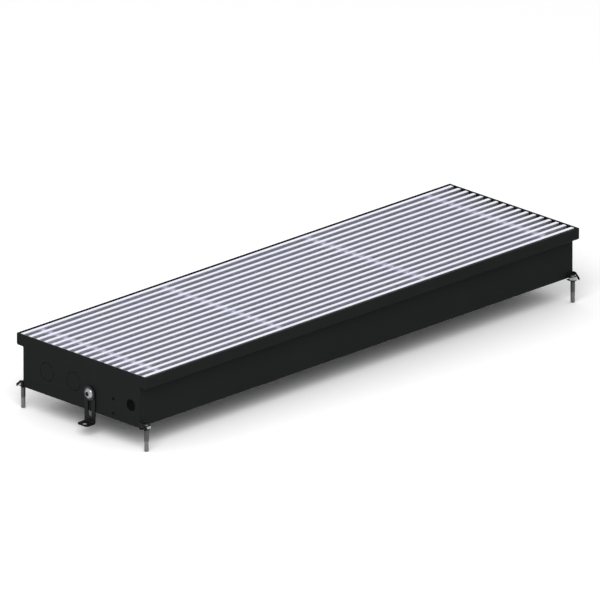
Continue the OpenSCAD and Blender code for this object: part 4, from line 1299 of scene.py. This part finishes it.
class HEATER_OT_valves(bpy.types.Operator):
    """Make the valve bodies and the union nuts that join them to the tubes"""

    bl_idname = "heater.valves"
    bl_label = "Valves"
    bl_options = {"REGISTER", "UNDO"}

    def execute(self, context):
        bodies = {f"{flow}_valve": f"{flow}_valve_body" for flow in FLOWS}
        bodies["union_nut_pair"] = "union_nuts"
        ease = context.scene.heater_valves.ease
        for name, node in bodies.items():
            eased_piece(name, node, ease, "trench", "nickel_brass", finish("nickel_plate"))
        return {"FINISHED"}


class HEATER_OT_valve_caps(bpy.types.Operator):
    """Make the hand cap and the lockshield cap of the valves"""

    bl_idname = "heater.valve_caps"
    bl_label = "Valve Caps"
    bl_options = {"REGISTER", "UNDO"}

    def execute(self, context):
        ease = context.scene.heater_valves.ease
        for flow, slot, cap in zip(FLOWS, ("cap_white", "cap_grey"), ("hand_cap", "shield_cap")):
            name = f"{flow}_cap"
            eased_piece(name, f"{flow}_valve_cap", ease, name, slot, finish(f"{cap}_plastic"))
        return {"FINISHED"}


class HEATER_OT_air_vent(bpy.types.Operator):
    """Finish the air vent and its screw"""

    bl_idname = "heater.air_vent"
    bl_label = "Air Vent"
    bl_options = {"REGISTER", "UNDO"}

    def execute(self, context):
        wear("air_vent_body", finish("turned_brass"))
        wear("air_vent_screw", finish("zinc_plate"))
        return {"FINISHED"}


def seen_directly(tree):
    """A mask that is full for rays that show the background itself or its mirror image."""
    path = add(tree, "ShaderNodeLightPath").outputs
    shown = maths(tree, "MAXIMUM", path["Is Camera Ray"], path["Is Glossy Ray"])
    return maths(tree, "MAXIMUM", shown, path["Is Transmission Ray"])


def light_dome(s):
    """A white world whose light on the heater is softer near the horizon."""
    world = bpy.data.worlds.new("Studio dome")
    world.use_nodes = True
    tree = world.node_tree
    tree.nodes.clear()
    direction = add(tree, "ShaderNodeTexCoord").outputs["Generated"]
    height = add(tree, "ShaderNodeSeparateXYZ", {0: direction}).outputs[2]
    light = spread(tree, height, 0.0, 1.0, s.horizon, s.zenith)
    strength = first(tree, "ShaderNodeMix", {0: seen_directly(tree), 2: light, 3: 1.0})
    shader = first(tree, "ShaderNodeBackground", {"Color": (1, 1, 1, 1), "Strength": strength})
    tree.links.new(shader, add(tree, "ShaderNodeOutputWorld").inputs["Surface"])
    bpy.context.scene.world = world


def floor_paint(s):
    """White floor that clips to white in the open, keeps the shadow, and is clear from below."""
    material = bpy.data.materials.new("Floor paint")
    material.use_nodes = True
    tree = material.node_tree
    tree.nodes.clear()
    level = first(tree, "ShaderNodeMix", {0: seen_directly(tree), 2: s.floor_tone, 3: s.floor_gain})
    tone = first(tree, "ShaderNodeCombineColor", {0: level, 1: level, 2: level})
    paint = first(tree, "ShaderNodeBsdfDiffuse", {"Color": tone})
    clear = first(tree, "ShaderNodeBsdfTransparent")
    below = add(tree, "ShaderNodeNewGeometry").outputs["Backfacing"]
    camera = add(tree, "ShaderNodeLightPath").outputs["Is Camera Ray"]
    hidden = maths(tree, "MULTIPLY", below, camera)
    shader = first(tree, "ShaderNodeMixShader", {0: hidden, 1: paint, 2: clear})
    tree.links.new(shader, add(tree, "ShaderNodeOutputMaterial").inputs["Surface"])
    return material


def faced(obj, place, direction):
    """Puts a camera or a lamp in its place, looking in a direction."""
    obj.location = place
    obj.rotation_mode = "QUATERNION"
    obj.rotation_quaternion = direction.to_track_quat("-Z", "Y")
    return obj


def long_lens_camera(s):
    """A camera far away with a long lens, which sees the heater almost without perspective."""
    aim = Vector((-s.aim_along, -s.aim_across, cad_box[1].z))
    a, e = s.azimuth, s.elevation
    back = Vector((math.sin(a) * math.cos(e), -math.cos(a) * math.cos(e), math.sin(e)))
    data = bpy.data.cameras.new("Camera")
    data.lens = s.lens
    distance = s.view_width * s.lens / data.sensor_width
    data.clip_start = 1
    data.clip_end = 2 * distance
    camera = faced(linked("Camera", data), aim + back * distance, -back)
    bpy.context.scene.camera = camera


def soft_lamp(name, place, size, power):
    """A large square lamp that faces the middle of the heater."""
    data = bpy.data.lights.new(name, "AREA")
    data.energy = power
    data.size = size
    faced(linked(name, data), place, -Vector(place))


class HEATER_OT_stage(bpy.types.Operator):
    """Set up the camera, the floor, the dome and the soft lamp"""

    bl_idname = "heater.stage"
    bl_label = "Stage"
    bl_options = {"REGISTER", "UNDO"}

    def execute(self, context):
        s = context.scene.heater_stage
        context.scene.view_settings.view_transform = "Standard"
        long_lens_camera(s)
        light_dome(s)
        bm = bmesh.new()
        bmesh.ops.create_grid(bm, x_segments=1, y_segments=1, size=s.floor_size / 2)
        bmesh.ops.translate(bm, verts=bm.verts, vec=(0, 0, -FLOOR_DROP))
        floor = from_bmesh("floor", bm)
        floor.data.materials.append(floor_paint(s))
        soft_lamp("Key lamp", KEY_PLACE, KEY_WIDTH, s.key_power)
        return {"FINISHED"}


STEPS = (
    HEATER_OT_casing, HEATER_OT_end_plates, HEATER_OT_levelling_lugs, HEATER_OT_levelling_studs,
    HEATER_OT_levelling_nuts, HEATER_OT_anchors, HEATER_OT_grille_bars, HEATER_OT_cross_rods,
    HEATER_OT_spacer_sleeves, HEATER_OT_fins, HEATER_OT_tubes, HEATER_OT_exchanger_fittings,
    HEATER_OT_valves, HEATER_OT_valve_caps, HEATER_OT_air_vent, HEATER_OT_stage,
)


class HEATER_PT_sidebar(bpy.types.Panel):
    """The heater's sizes and colours, and the steps that make it"""

    bl_label = "Trench Heater"
    bl_idname = "HEATER_PT_sidebar"
    bl_space_type = "VIEW_3D"
    bl_region_type = "UI"
    bl_category = "Heater"

    def draw(self, context):
        layout = self.layout
        for name, group in SETTINGS.items():
            box = layout.box()
            box.label(text=name.replace("heater_", "").capitalize())
            for prop in group.__annotations__:
                box.prop(getattr(context.scene, name), prop)
        for step in STEPS:
            layout.operator(step.bl_idname)


CLASSES = (*SETTINGS.values(), *STEPS, HEATER_PT_sidebar)


def register():
    """Registers the classes and puts the settings on the scene."""
    for cls in CLASSES:
        bpy.utils.register_class(cls)
    for name, group in SETTINGS.items():
        setattr(bpy.types.Scene, name, PointerProperty(type=group))


def unregister():
    """Takes the settings off the scene and drops the classes."""
    for name in SETTINGS:
        delattr(bpy.types.Scene, name)
    for cls in reversed(CLASSES):
        bpy.utils.unregister_class(cls)


def main():
    """Makes every piece and the stage."""
    register()
    for step in STEPS:
        group, name = step.bl_idname.split(".")
        getattr(getattr(bpy.ops, group), name)()


if __name__ == "__main__":
    main()
